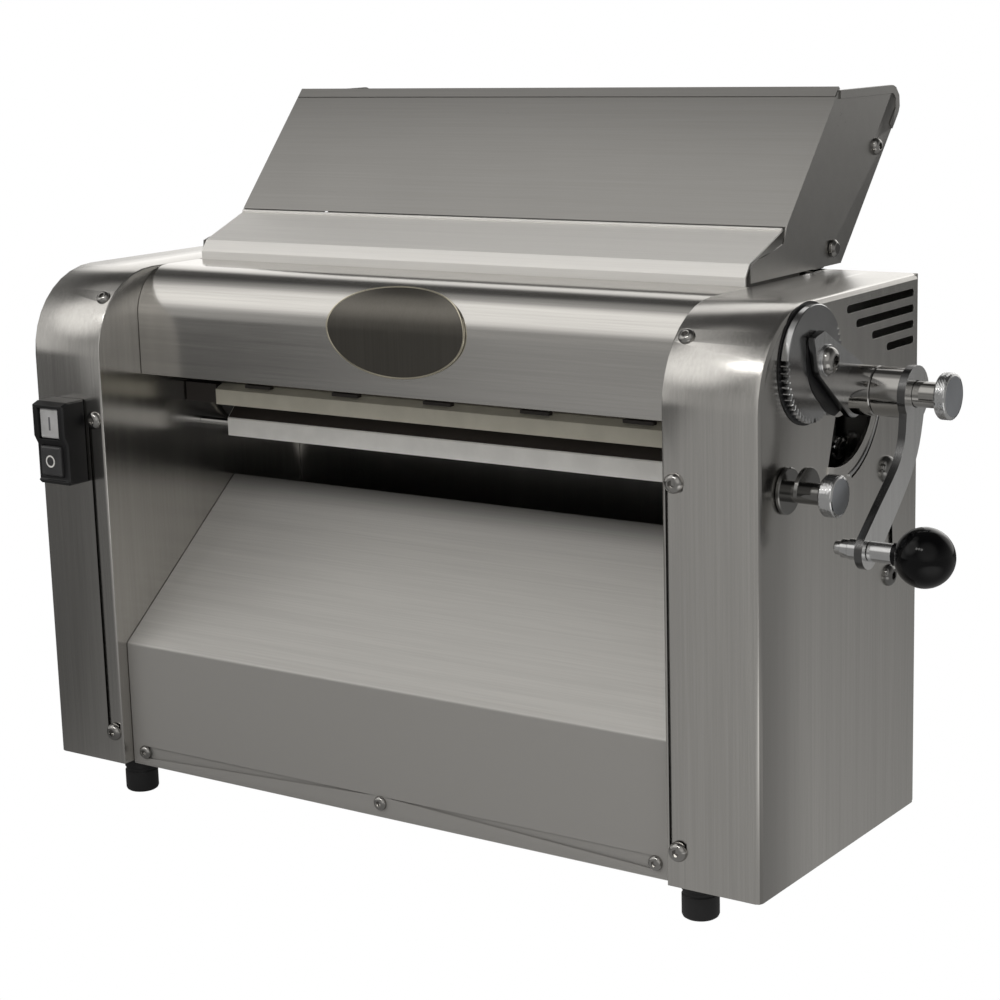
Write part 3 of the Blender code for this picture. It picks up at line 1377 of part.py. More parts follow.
def lever_arm():
    """Flat bowed arm from the lever hub down to the handle."""
    hub = np.array((LEVER_Y, LEVER_Z))
    grip = np.array((HANDLE_Y, HANDLE_Z))
    length = np.linalg.norm(grip - hub)
    run = (grip - hub) / length
    side = np.array((-run[1], run[0]))
    line = []
    for along, off, wide in ARM_BOW_SHARES:
        p = hub + run * length * along + side * ARM_BOW_OUT * off
        line.append((p[0], p[1], ARM_GRIP_HALF + (ARM_HUB_HALF - ARM_GRIP_HALF) * wide))
    line.append((HANDLE_Y, HANDLE_Z, ARM_GRIP_HALF))
    line = smooth_line(line)
    left = []
    right = []
    for k, p in enumerate(line):
        a = line[max(k - 1, 0)]
        b = line[min(k + 1, len(line) - 1)]
        d = (b - a)[:2]
        d = d / np.linalg.norm(d)
        n = np.array((-d[1], d[0]))
        left.append(tuple(p[:2] + n * p[2]))
        right.append(tuple(p[:2] - n * p[2]))
    x = (HALF_W + ARM_X0 + GAP, HALF_W + ARM_X1)
    strip = prism("lever_arm", left + right[::-1], *x)
    boss = rod(ARM_BOSS_R, *x, LEVER_Y, LEVER_Z, 28)
    end = rod(ARM_END_R, *x, HANDLE_Y, HANDLE_Z, 20)
    join(strip, boss, end)
    drill = (HALF_W + ARM_X0 - CUT_PAST, HALF_W + ARM_X1 + CUT_PAST)
    cut(strip, rod(NECK_R + GAP, *drill, LEVER_Y, LEVER_Z))
    cut(strip, rod(SPINDLE_BOLT_R + GAP, *drill, HANDLE_Y, HANDLE_Z))
    origin_at(strip, (0.0, LEVER_Y, LEVER_Z))
    return steel(strip)


def handle_spindle():
    """Bolt through the arm with nut and collar inside and a plain spindle outside for the ball."""
    f = HALF_W
    profile = [
        (f + SPINDLE_X0, SPINDLE_TIP_R),
        (f + SPINDLE_X0 + SPINDLE_TIP_L, SPINDLE_BOLT_R),
        (f + NUT_X0, SPINDLE_BOLT_R),
        (f + NUT_X0, NUT_R),
        (f + COLLAR_X0, NUT_R),
        (f + COLLAR_X0, COLLAR_R),
        (f + ARM_X0, COLLAR_R),
        (f + ARM_X0, SPINDLE_BOLT_R),
        (f + ARM_X1 + GAP, SPINDLE_BOLT_R),
        (f + ARM_X1 + GAP, SPINDLE_R),
        (f + SPINDLE_X1, SPINDLE_R),
        (f + SPINDLE_X1, SPINDLE_BOLT_R),
        (f + BALL_X + SPINDLE_IN_BALL, SPINDLE_BOLT_R),
    ]
    return polished(turned("handle_spindle", profile, (0.0, HANDLE_Y, HANDLE_Z), "X", 14))


def ball_knob():
    """Round grip with a short neck and a blind bore for its spindle."""
    f = HALF_W + BALL_X
    bore = SPINDLE_BOLT_R + RUN
    depth = SPINDLE_IN_BALL + GAP
    mouth = SPINDLE_X1 + GAP - BALL_X
    start = -math.sqrt(BALL_R**2 - BALL_NECK_R**2)
    profile = [(depth, 0.0), (depth, bore), (mouth, bore), (mouth, BALL_NECK_R)]
    steps = 9
    for k in range(steps + 1):
        a = math.acos(start / BALL_R) * (1 - k / steps)
        profile.append((BALL_R * math.cos(a), BALL_R * math.sin(a) if k < steps else 0.0))
    ball = turned("ball_knob", profile, (f, HANDLE_Y, HANDLE_Z), "X", 20)
    origin_at(ball, (f, HANDLE_Y, HANDLE_Z))
    return black_plastic(ball)


def knurled(name, profile, centre, knob_start, knob_end, radius, ridges=18):
    """Turned stem with a ridged knob joined to it."""
    stem = turned(name, profile, centre, "X", 16)
    outline = []
    for k in range(ridges * 2):
        a = math.pi * k / ridges
        r = radius if k % 2 == 0 else radius - KNURL_DEEP
        outline.append((centre[1] + r * math.cos(a), centre[2] + r * math.sin(a)))
    knob = prism("knob", outline, knob_start, knob_end, KNOB_EASE)
    join(stem, knob)
    return stem


def index_knob():
    """Sprung pull knob on the lever's axis; its pin runs down the hollow lever shaft."""
    f = HALF_W
    profile = [
        (f - INDEX_TIP_IN, INDEX_TIP_R),
        (f - INDEX_TIP_IN + INDEX_TIP_L, INDEX_PIN_R),
        (f + ARM_X0 + GAP, INDEX_PIN_R),
        (f + ARM_X0 + GAP, NECK_R - RUN),
        (f + NECK_X1 + KNOB_OVERLAP, NECK_R - RUN),
    ]
    knob = knurled("index_knob", profile, (0.0, LEVER_Y, LEVER_Z), f + NECK_X1, f + KNOB_X1, KNOB_R)
    origin_at(knob, (f + NECK_X1, LEVER_Y, LEVER_Z))
    return polished(knob)


def lock_housing():
    """Round foot and sleeve of the lower knob, with the half-round tab behind it."""
    f = HALF_W
    bore = LOCK_PIN_R + RUN
    rim = LOCK_FOOT_R - LOCK_FOOT_EASE
    profile = [
        (f + GAP, bore),
        (f + GAP, rim),
        (f + LOCK_FOOT_MID, LOCK_FOOT_R),
        (f + LOCK_FOOT_T, rim),
        (f + LOCK_FOOT_T, LOCK_HOUSE_R),
        (f + LOCK_HOUSE_X1, LOCK_HOUSE_R),
        (f + LOCK_HOUSE_X1, bore),
    ]
    house = tube("lock_housing", profile, (0.0, LOCK_Y, LOCK_Z), "X", 20)
    tab_x = (f + LOCK_TAB_X0, f + LOCK_TAB_X0 + LOCK_TAB_T)
    tab = prism("tab", arc(LOCK_Y, LOCK_Z, LOCK_TAB_R, 0, 180, 10), *tab_x)
    drill = (tab_x[0] - CUT_PAST, tab_x[1] + CUT_PAST)
    cut(tab, rod((LOCK_HOUSE_R + LOCK_PIN_R) / 2, *drill, LOCK_Y, LOCK_Z))
    join(house, tab)
    return polished(house)


def lock_knob():
    """Sprung pull knob that holds the scraper bar; its pin passes through the tower side."""
    start = HALF_W + LOCK_HOUSE_X1 + LOCK_KNOB_OFF
    tip = HALF_W - LOCK_PIN_IN
    profile = [
        (tip, LOCK_TIP_R),
        (tip + LOCK_TIP_L, LOCK_PIN_R),
        (start + LOCK_STEM_IN, LOCK_PIN_R),
    ]
    end = start + LOCK_KNOB_L
    knob = knurled("lock_knob", profile, (0.0, LOCK_Y, LOCK_Z), start, end, LOCK_KNOB_R, 16)
    origin_at(knob, (start, LOCK_Y, LOCK_Z))
    return polished(knob)


# %% Scrapers
def bar_point(shares, corner, size):
    """A point of a scraper's side view, given as shares of the bar from its low front corner."""
    return (corner[0] + size[0] * shares[0], corner[1] + size[1] * shares[1])


def scraper(name, shares, corner, size, rod_shares, colour):
    """Plastic bar whose edge lies just off its roller, threaded on its own rod."""
    outline = [bar_point(pair, corner, size) for pair in shares]
    rod_place = bar_point(rod_shares, corner, size)
    bar = prism(name, outline, -SCRAPER_HALF, SCRAPER_HALF)
    ends = (-SCRAPER_HALF - CUT_PAST, SCRAPER_HALF + CUT_PAST)
    cut(bar, hole(SCRAPER_ROD_R + GAP, *ends, *rod_place))
    steel_rod = hole(SCRAPER_ROD_R, -BETWEEN, BETWEEN, *rod_place)
    steel_rod.name = name + "_rod"
    polished(steel_rod)
    return paint(bar, colour, 0.0, 0.45)


# %% Motor and gears
# Shares of a length along the motor and of its radius across it
MOTOR_SHARES = ((0.0, 0.9307), (0.1188, 0.9703))
MOTOR_RIBS = 3
MOTOR_RIB_SHARES = ((0.2376, 0.8713), (0.7129, 0.8713), (0.7723, 0.9703), (0.9505, 0.9703))
MOTOR_RIB_STEP_SHARE = 0.8317
MOTOR_FAN_SHARES = ((0.1980, 1.0), (0.9109, 1.0), (1.0693, 0.8713))
MOTOR_FEET_SHARES = (0.3960, 1.9802, 0.8911)
MOTOR_STEM_SHARES = (0.4950, 1.8812, 0.5941)
MOTOR_LID_SHARES = (0.5941, 1.7822, 0.5545, 0.6931, 1.3465)
LID_EDGE_SHARE = 0.0396
GEARBOX_SHARES = (0.8317, 0.7921)
GEARBOX_EDGE_SHARE = 0.0792
FLANGE_SHARES = ((-0.1980, 0.5149), (0.0396, 0.5941))


def motor():
    """Finned motor with a fan cover at its right end and a terminal box on top."""
    step, unit = MOTOR_UNIT_L, MOTOR_R
    x0 = -MOTOR_START
    profile = [(x0, 0.0)] + [(x0 + step * along, unit * out) for along, out in MOTOR_SHARES]
    x = x0
    for _ in range(MOTOR_RIBS):
        profile += [(x + step * along, unit * out) for along, out in MOTOR_RIB_SHARES]
        x += step * MOTOR_RIB_STEP_SHARE
    profile += [(x + step * along, unit * out) for along, out in MOTOR_FAN_SHARES]
    profile.append((profile[-1][0], 0.0))
    body = turned("motor", profile, (0.0, MOTOR_Y, MOTOR_Z), "X", 16)
    seat = TRAY_FLOOR + TRAY_T + MOTOR_SEAT
    low, high, half = MOTOR_FEET_SHARES
    corner = (x0 + step * low, MOTOR_Y - unit * half, seat)
    feet = box("feet", corner, (x0 + step * high, MOTOR_Y + unit * half, seat + MOTOR_PLATE_T))
    low, high, half = MOTOR_STEM_SHARES
    corner = (x0 + step * low, MOTOR_Y - unit * half, seat + MOTOR_PLATE_T / 2)
    stem = box("stem", corner, (x0 + step * high, MOTOR_Y + unit * half, MOTOR_Z - unit * half))
    low, high, half, under, top = MOTOR_LID_SHARES
    corner = (x0 + step * low, MOTOR_Y - unit * half, MOTOR_Z + unit * under)
    far = (x0 + step * high, MOTOR_Y + unit * half, MOTOR_Z + unit * top)
    lid = box("lid", corner, far, unit * LID_EDGE_SHARE)
    join(body, feet, stem, lid)
    return cast_metal(body)


def gearbox():
    """Reduction box between the motor and the left frame."""
    unit = MOTOR_R
    x0 = -(INNER_X - GEARBOX_IN)
    half, top = (unit * share for share in GEARBOX_SHARES)
    low = (x0, MOTOR_Y - half, TRAY_FLOOR + TRAY_T + MOTOR_SEAT)
    high = (-MOTOR_START - GAP, MOTOR_Y + half, MOTOR_Z + top)
    house = box("gearbox", low, high, unit * GEARBOX_EDGE_SHARE)
    profile = [(x0 + unit * along, unit * out) for along, out in FLANGE_SHARES]
    flange = turned("flange", profile, (0.0, MOTOR_Y, MOTOR_Z), "X", 20)
    join(house, flange)
    drill = (profile[0][0] - CUT_PAST, x0 + DRIVE_POCKET)
    cut(house, rod(DRIVE_SHAFT_R + RUN, *drill, MOTOR_Y, MOTOR_Z, 24))
    return cast_metal(house)



def gear(name, place_yz, teeth, phase, bore, hub_r):
    """Spur gear with a short hub."""
    y, z = place_yz
    x = (GEAR_X, GEAR_X + GEAR_FACE)
    wheel = prism(name, gear_outline(y, z, MODULE, teeth, phase), *x)
    join(wheel, rod(hub_r, x[1] - HUB_STEP / 4, x[1] + HUB_STEP, y, z, 20))
    cut(wheel, rod(bore, x[0] - CUT_PAST, x[1] + HUB_STEP + CUT_PAST, y, z, 24))
    origin_at(wheel, (0.0, y, z))
    return cast_metal(wheel)


def gear_train():
    """Pinion, idler and the two roller gears, each turned into mesh with the one before."""
    lower = (LOWER_Y, LOWER_Z)
    upper = (UPPER_Y, UPPER_Z)
    drive = (MOTOR_Y, MOTOR_Z)
    up = direction_of(lower, upper)
    lower_phase = up
    upper_phase = mesh_phase(lower_phase, ROLLER_TEETH, up, ROLLER_TEETH)
    down = direction_of(lower, IDLER)
    idler_phase = mesh_phase(lower_phase, ROLLER_TEETH, down, IDLER_TEETH)
    out = direction_of(IDLER, drive)
    drive_phase = mesh_phase(idler_phase, IDLER_TEETH, out, PINION_TEETH)
    gear("lower_gear", lower, ROLLER_TEETH, lower_phase, SHAFT_R + GAP / 2, GEAR_HUB_R)
    gear("upper_gear", upper, ROLLER_TEETH, upper_phase, SHAFT_R + GAP / 2, GEAR_HUB_R)
    gear("idler_gear", IDLER, IDLER_TEETH, idler_phase, IDLER_PIN_R + RUN, IDLER_HUB_R)
    wheel = gear("drive_pinion", drive, PINION_TEETH, drive_phase, DRIVE_BORE_R, PINION_HUB_R)
    face = GEAR_X + GEAR_FACE
    shaft_end = -(INNER_X - GEARBOX_IN) + DRIVE_IN_BOX
    shaft = rod(DRIVE_SHAFT_R, face + DRIVE_STEP, shaft_end, MOTOR_Y, MOTOR_Z, 24)
    plug = rod(DRIVE_NECK_R, GEAR_X + DRIVE_NECK_IN, face + 2 * DRIVE_STEP, MOTOR_Y, MOTOR_Z, 24)
    for part in (shaft, plug):
        for vertex in part.data.vertices:
            vertex.co -= Vector((0.0, MOTOR_Y, MOTOR_Z))
        part.location = (0.0, MOTOR_Y, MOTOR_Z)
    join(wheel, shaft, plug)


def idler_pin():
    """Pin fixed in the left frame, with a cap that keeps the idler on."""
    flange = -FRAME_OUT - GAP
    step = -FRAME_OUT - IDLER_FLANGE_OUT
    profile = [
        (-FRAME_X, IDLER_SEAT_R),
        (flange, IDLER_SEAT_R),
        (flange, IDLER_FLANGE_R),
        (step, IDLER_FLANGE_R),
        (step, IDLER_PIN_R),
        (GEAR_X - GAP, IDLER_PIN_R),
        (GEAR_X - GAP, IDLER_CAP_R),
        (GEAR_X - IDLER_CAP_T, IDLER_CAP_R),
    ]
    return polished(turned("idler_pin", profile, (0.0, *IDLER), "X", 20))


# %% Feet, ties, switch, badge, gland
def foot(name, x, y):
    profile = [
        (-FOOT_H, 0.0),
        (-FOOT_H, FOOT_R - FOOT_SOLE),
        (-FOOT_H + FOOT_BEVEL, FOOT_R - FOOT_EASE),
        (-FOOT_H + FOOT_RISE, FOOT_R),
        (FOOT_SINK, FOOT_R),
        (FOOT_SINK, 0.0),
    ]
    pad = turned(name, profile, (x, y, 0.0), "Z", 16)
    return paint(pad, BLACK, 0.0, 0.6)

def tie_rod(name, y, z):
    bar = rod(TIE_R, -FRAME_X + GAP, FRAME_X - GAP, y, z, 20)
    bar.name = name
    return polished(bar)


def switch_box():
    """Raised switch housing with two pockets and a hood over the upper one."""
    x0 = SWITCH_X - SWITCH_W / 2
    x1 = SWITCH_X + SWITCH_W / 2
    z0 = SWITCH_Z - SWITCH_H / 2
    z1 = SWITCH_Z + SWITCH_H / 2
    face = -SWITCH_D
    top = face - SWITCH_HOOD
    hood_end = SWITCH_Z + SWITCH_HOOD_END
    profile = [
        (-GAP, z0),
        (-GAP, z1),
        (face + SWITCH_EASE, z1),
        (top, z1 - SWITCH_EASE),
        (top, hood_end),
        (face, hood_end - SWITCH_HOOD_FALL),
        (face, z0 + SWITCH_CHIN),
        (face - SWITCH_CHIN_OUT, z0 + SWITCH_CHIN - SWITCH_CHIN_W),
        (face + SWITCH_FOOT_EASE, z0),
    ]
    case = prism("switch_box", profile, x0, x1, SWITCH_SIDE_EASE)
    tools = []
    w = BUTTON_W / 2 + BUTTON_GAP / 2
    h = BUTTON_H / 2 + BUTTON_GAP / 2
    for z in BUTTON_PLACES:
        low = (SWITCH_X - w, top - CUT_PAST, z - h)
        tools.append(box("pocket", low, (SWITCH_X + w, -SWITCH_BACK, z + h)))
    cut(case, *tools)
    return black_plastic(case)


def button(name, z, face, colour):
    """Rounded push button that slides into its pocket."""
    w = BUTTON_W / 2
    h = BUTTON_H / 2
    e = BUTTON_EASE
    rings = []
    for y, less in ((-SWITCH_BACK - BUTTON_SEAT - BUTTON_TRAVEL, 0.0), (face + e, 0.0), (face, e)):
        rings.append(
            [
                (SWITCH_X - w + less, y, z - h + less),
                (SWITCH_X + w - less, y, z - h + less),
                (SWITCH_X + w - less, y, z + h - less),
                (SWITCH_X - w + less, y, z + h - less),
            ]
        )
    cap = loft(name, rings)
    origin_at(cap, (SWITCH_X, face, z))
    return paint(cap, colour, 0.0, 0.4)

def cover_point(along, off):
    """A point on the cover, along its face from the arc's start, pushed off the face."""
    if along <= 0:
        return (COVER_Y - off, BODY_H - COVER_R + along)
    a = math.pi - along / COVER_R
    r = COVER_R + off
    return (COVER_Y + COVER_R + r * math.cos(a), BODY_H - COVER_R + r * math.sin(a))


def badge():
    """Bare oval plate bent to the cover, with a raised rim round a recess."""
    mid = BADGE_Z - (BODY_H - COVER_R)
    rows = 13
    rings = []
    for k in range(rows):
        lean = math.radians(-83 + 166 * k / (rows - 1))
        up = BADGE_HALF_S * math.sin(lean)
        wide = BADGE_HALF_X * math.cos(lean)
        share = up / (BADGE_HALF_S - BADGE_RIM)
        inner = (BADGE_HALF_X - BADGE_RIM) * math.sqrt(max(0.0, 1 - share * share))
        inner = max(inner, BADGE_RIM / 5)
        ring = []
        for x, off in (
            (-wide, GAP),
            (wide, GAP),
            (wide, BADGE_T),
            (inner, BADGE_T),
            (inner, BADGE_T - BADGE_DIP),
            (-inner, BADGE_T - BADGE_DIP),
            (-inner, BADGE_T),
            (-wide, BADGE_T),
        ):
            ring.append((BADGE_X + x, *cover_point(mid + up, off)))
        rings.append(ring)
    return paint(loft("badge", rings), DARK_STEEL, 1.0, 0.3)


def cable_gland():
    """Threaded cable entry in the back panel, with no cord in it."""
    thread = GLAND_R - GLAND_STEP
    profile = [
        (-SKIN - GLAND_THREAD_IN, GLAND_BORE_R),
        (-SKIN - GLAND_THREAD_IN, thread),
        (GAP, thread),
        (GAP, GLAND_NUT_R),
        (GLAND_NUT_T, GLAND_NUT_R),
        (GLAND_NUT_T, GLAND_CAP_R),
        (GLAND_DOME_AT, GLAND_DOME_R),
        (GLAND_END_AT, GLAND_END_R),
        (GLAND_END_AT, GLAND_BORE_R),
    ]
    part = tube("cable_gland", profile, (GLAND_X, BODY_D, GLAND_Z), "Y", 12)
    return black_plastic(part)


# %% Put it together
def build():
    clear_scene()
    base_tray()
    left_tower()
    right_tower()
    front_cover()
    chute_panel()
    back_panel()
    side_frame("left_frame", -1)
    side_frame("right_frame", 1)
    throat_lip()
    feed_tray()
    guard()
    for name, side in (("left", -1), ("right", 1)):
        guard_bracket("bracket_" + name, side)
        hinge_screw("hinge_screw_" + name, side)
        sliding_block("block_" + name, side)
        bearing("bearing_" + name, side)
    roller("upper_roller", UPPER_Y, UPPER_Z, GEAR_X + ROLLER_EASE, CAM_NEAR - GAP)
    roller("lower_roller", LOWER_Y, LOWER_Z, GEAR_X + ROLLER_EASE, FRAME_OUT + SHAFT_OUT)
    cam_shaft()
    toothed_wheel()
    link_plate()
    lever_shaft()
    lever_arm()
    handle_spindle()
    ball_knob()
    index_knob()
    lock_housing()
    lock_knob()
    upper = (UPPER_BAR_SHARES, UPPER_BAR_AT, (UPPER_BAR_W, UPPER_BAR_H), UPPER_ROD_SHARES)
    lower = (LOWER_BAR_SHARES, LOWER_BAR_AT, (LOWER_BAR_W, LOWER_BAR_H), LOWER_ROD_SHARES)
    scraper("upper_scraper", *upper, CREAM)
    scraper("lower_scraper", *lower, GREY)
    motor()
    gearbox()
    gear_train()
    idler_pin()
    for end, y in (("front", FOOT_IN), ("back", BODY_D - FOOT_IN)):
        foot("foot_" + end + "_left", -FOOT_X, y)
        foot("foot_" + end + "_right", FOOT_X, y)
    for end, (y, z) in zip(("back", "front"), TIE_PLACES):
        tie_rod("tie_rod_" + end, y, z)
    switch_box()
    button("start_button", BUTTON_PLACES[0], -SWITCH_D - START_OUT, GREY)
    button("stop_button", BUTTON_PLACES[1], -SWITCH_D - STOP_OUT, BLACK)
    badge()
    cable_gland()


def centre_all():
    """Moves every piece so that the whole box stands centred on the origin."""
    bpy.context.view_layer.update()
    low = np.array([1e9, 1e9, 1e9])
    high = -low
    nodes = [o for o in bpy.context.scene.objects if o.type == "MESH" and not o.hide_render]
    for obj in nodes:
        for vertex in obj.data.vertices:
            p = np.array(obj.matrix_world @ vertex.co)
            low = np.minimum(low, p)
            high = np.maximum(high, p)
    shift = Vector((-(low[0] + high[0]) / 2, -(low[1] + high[1]) / 2, -low[2]))
    for obj in nodes:
        obj.location += shift
    size = np.round(high - low, 4).tolist()
    print("moved by", [round(v, 6) for v in shift], "box", size, len(nodes), "pieces")


build()
centre_all()
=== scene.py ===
# %% [markdown]
# # Dressing a table-top dough sheeter
# The solid model arrives as a fixed frame of named nodes on named bodies. This script gives
# it the look of the real machine: brushed sheet steel, turned fittings, moulded plastic and a
# soft studio. Nothing of the frame moves, so every joint still fits: a finer piece either
# replaces a node or sits on one.

# %% Load the frame
import json
import math

import bmesh
import bpy
from mathutils import Matrix, Vector

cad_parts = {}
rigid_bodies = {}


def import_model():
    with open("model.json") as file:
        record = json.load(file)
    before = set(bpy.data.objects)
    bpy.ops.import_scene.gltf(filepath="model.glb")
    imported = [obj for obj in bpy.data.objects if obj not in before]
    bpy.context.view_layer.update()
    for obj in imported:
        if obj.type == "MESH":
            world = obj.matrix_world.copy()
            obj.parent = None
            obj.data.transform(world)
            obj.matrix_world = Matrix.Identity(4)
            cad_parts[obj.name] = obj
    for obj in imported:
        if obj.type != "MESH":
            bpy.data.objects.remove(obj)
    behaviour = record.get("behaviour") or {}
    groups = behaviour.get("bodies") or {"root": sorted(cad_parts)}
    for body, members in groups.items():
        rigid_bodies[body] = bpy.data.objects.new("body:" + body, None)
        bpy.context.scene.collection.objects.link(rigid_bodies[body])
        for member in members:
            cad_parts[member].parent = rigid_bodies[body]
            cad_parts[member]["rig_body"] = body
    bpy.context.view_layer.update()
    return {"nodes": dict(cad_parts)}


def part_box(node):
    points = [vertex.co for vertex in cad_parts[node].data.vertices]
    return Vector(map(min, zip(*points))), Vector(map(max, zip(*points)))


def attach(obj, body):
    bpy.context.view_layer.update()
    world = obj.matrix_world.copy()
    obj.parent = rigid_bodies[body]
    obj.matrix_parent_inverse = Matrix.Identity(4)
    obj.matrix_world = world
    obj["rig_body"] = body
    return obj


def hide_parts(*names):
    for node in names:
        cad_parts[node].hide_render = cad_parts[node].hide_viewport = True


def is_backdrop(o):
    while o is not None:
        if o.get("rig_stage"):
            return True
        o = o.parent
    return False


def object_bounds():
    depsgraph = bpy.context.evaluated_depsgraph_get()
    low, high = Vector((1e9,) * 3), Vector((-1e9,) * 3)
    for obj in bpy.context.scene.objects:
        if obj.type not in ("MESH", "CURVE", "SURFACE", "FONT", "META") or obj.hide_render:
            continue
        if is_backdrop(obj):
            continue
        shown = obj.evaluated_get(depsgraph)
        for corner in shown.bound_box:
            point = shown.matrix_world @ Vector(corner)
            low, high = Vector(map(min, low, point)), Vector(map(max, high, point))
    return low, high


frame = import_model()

# %% [markdown]
# ## Where things are
# Lengths are metres. The machine's own axes start at the middle of its width, at the front of
# its towers and at their lower edge; `at` turns such a place into the frame. Typed numbers go
# stale when the model changes, so driving sizes are read from the nodes where they give them.
# `SEAT` is the gap between a piece and what carries it.

# %% Axes and driving sizes
MM = 0.001
SEAT = 0.3 * MM
left_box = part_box("left_tower")
right_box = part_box("right_tower")
back_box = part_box("back_panel")
switch_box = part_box("switch_box")
MID_X = (back_box[0].x + back_box[1].x) / 2
FRONT_Y = switch_box[1].y + SEAT
LOW_Z = right_box[0].z
HALF_W = 280 * MM
HEIGHT = right_box[1].z - LOW_Z


def at(x, y, z):
    """A place of the machine in the frame."""
    return Vector((MID_X + x, FRONT_Y + y, LOW_Z + z))


print("origin:", [round(v, 5) for v in at(0, 0, 0)])

# %% [markdown]
# ## Camera
# The view of the photograph: from the right, a little above, with a long lens. It could be
# turned by hand until the picture fits. Solving its place, turns and focal length from points
# of known size fits all over, not only in the middle.

# %% Camera
CAMERA_PLACE = (0.87422, -1.08922, 0.50602)
CAMERA_YAW = math.radians(35.1887)
CAMERA_PITCH = math.radians(12.1185)
CAMERA_ROLL = math.radians(-1.6270)
CAMERA_LENS = 82.664
SENSOR_WIDTH = 36.0
NEAREST = 0.05


def make_camera():
    data = bpy.data.cameras.new("camera")
    data.lens = CAMERA_LENS
    data.sensor_width = SENSOR_WIDTH
    data.sensor_fit = "HORIZONTAL"
    data.clip_start = NEAREST
    camera = bpy.data.objects.new("camera", data)
    bpy.context.scene.collection.objects.link(camera)
    turn = Matrix.Rotation(CAMERA_YAW, 4, "Z")
    turn = turn @ Matrix.Rotation(math.pi / 2 - CAMERA_PITCH, 4, "X")
    turn = turn @ Matrix.Rotation(CAMERA_ROLL, 4, "Z")
    camera.matrix_world = Matrix.Translation(at(*CAMERA_PLACE)) @ turn
    bpy.context.scene.camera = camera
    return camera


camera = make_camera()
bpy.context.scene.view_settings.view_transform = "Standard"
print("camera at", [round(v, 3) for v in camera.location])

# %% [markdown]
# ## Studio
# The photograph's background is pure white, yet the steel is grey: it mirrors a dim room with
# one large soft light at the front left and a pale sheet behind. Area lamps would show their
# outlines in the steel. So the camera sees white, and all other rays see a room of soft
# patches in the world's shader.

# %% Directions and node helpers
def direction(azimuth, elevation):
    """Azimuth is counted from straight in front, towards +X; both in degrees."""
    a = math.radians(azimuth)
    e = math.radians(elevation)
    return Vector((math.sin(a) * math.cos(e), -math.cos(a) * math.cos(e), math.sin(e)))


class Graph:
    """Short names for building a node tree."""

    def __init__(self, tree):
        self.tree = tree

    def node(self, kind, **settings):
        made = self.tree.nodes.new(kind)
        for key, value in settings.items():
            setattr(made, key, value)
        return made

    def link(self, source, target):
        self.tree.links.new(source, target)

    def feed(self, socket, value):
        if hasattr(value, "is_output"):
            self.link(value, socket)
        else:
            socket.default_value = value

    def math(self, operation, *values, clamp=False):
        made = self.node("ShaderNodeMath", operation=operation, use_clamp=clamp)
        for socket, value in zip(made.inputs, values):
            self.feed(socket, value)
        return made.outputs[0]

    def vector(self, operation, *values):
        made = self.node("ShaderNodeVectorMath", operation=operation)
        for socket, value in zip(made.inputs, values):
            self.feed(socket, value)
        return made.outputs["Value" if operation in ("DOT_PRODUCT", "DISTANCE") else "Vector"]

    def ramp(self, value, low, high, start=0.0, end=1.0):
        """Goes smoothly from start at low to end at high, and stays there."""
        made = self.node("ShaderNodeMapRange", interpolation_type="SMOOTHSTEP", clamp=True)
        self.feed(made.inputs["Value"], value)
        limits = {"From Min": low, "From Max": high, "To Min": start, "To Max": end}
        for name, number in limits.items():
            made.inputs[name].default_value = number
        return made.outputs["Result"]

    def mix(self, share, a, b):
        made = self.node("ShaderNodeMix", data_type="RGBA")
        self.feed(made.inputs["Factor"], share)
        self.feed(made.inputs["A"], a)
        self.feed(made.inputs["B"], b)
        return made.outputs["Result"]

    def glow(self, kind, colour, strength):
        """A background or an emission; its strength may be a number or a socket."""
        made = self.node(kind)
        made.inputs["Color"].default_value = colour
        self.feed(made.inputs["Strength"], strength)
        return made.outputs[0]

    def seen_or_lit(self, lit, seen, kind, socket):
        """Sends seen to the camera and lit to every other ray."""
        path = self.node("ShaderNodeLightPath")
        chosen = self.node("ShaderNodeMixShader")
        self.link(path.outputs["Is Camera Ray"], chosen.inputs[0])
        self.link(lit, chosen.inputs[1])
        self.link(seen, chosen.inputs[2])
        self.link(chosen.outputs[0], self.node(kind).inputs[socket])


print("straight ahead:", [round(v, 2) for v in direction(0, 0)])

# %% [markdown]
# Each patch has a direction, the angle inside which it is full, the angle where it ends,
# and its brightness. The base brightness falls from the horizon to the ceiling. In a table
# one row can be changed without touching the others.

# %% Light patches
PATCHES = (
    ("front softbox", -44, 39, 9, 30, 1.03),
    ("right fill", 35, 35, 10, 45, 0.55),
    ("pale sheet behind left", -155, 24, 22, 32, 1.00),
    ("softbox above left", -74, 57, 7, 19, 0.34),
    ("lamp left", -17, 43, 2, 5, 9.0),
    ("lamp middle", -4, 44, 2, 5, 9.0),
    ("lamp right", 9, 43, 2, 5, 9.0),
    ("pale sheet behind", 172, 16, 14, 30, 0.70),
    ("left fill", -70, 12, 6, 30, 0.30),
)
HORIZON_LIGHT = 0.40
CEILING_LIGHT = 0.07
CEILING_SINE = 0.75
ROOM_TINT = (1.0, 0.985, 0.96, 1.0)
WHITE = (1.0, 1.0, 1.0, 1.0)


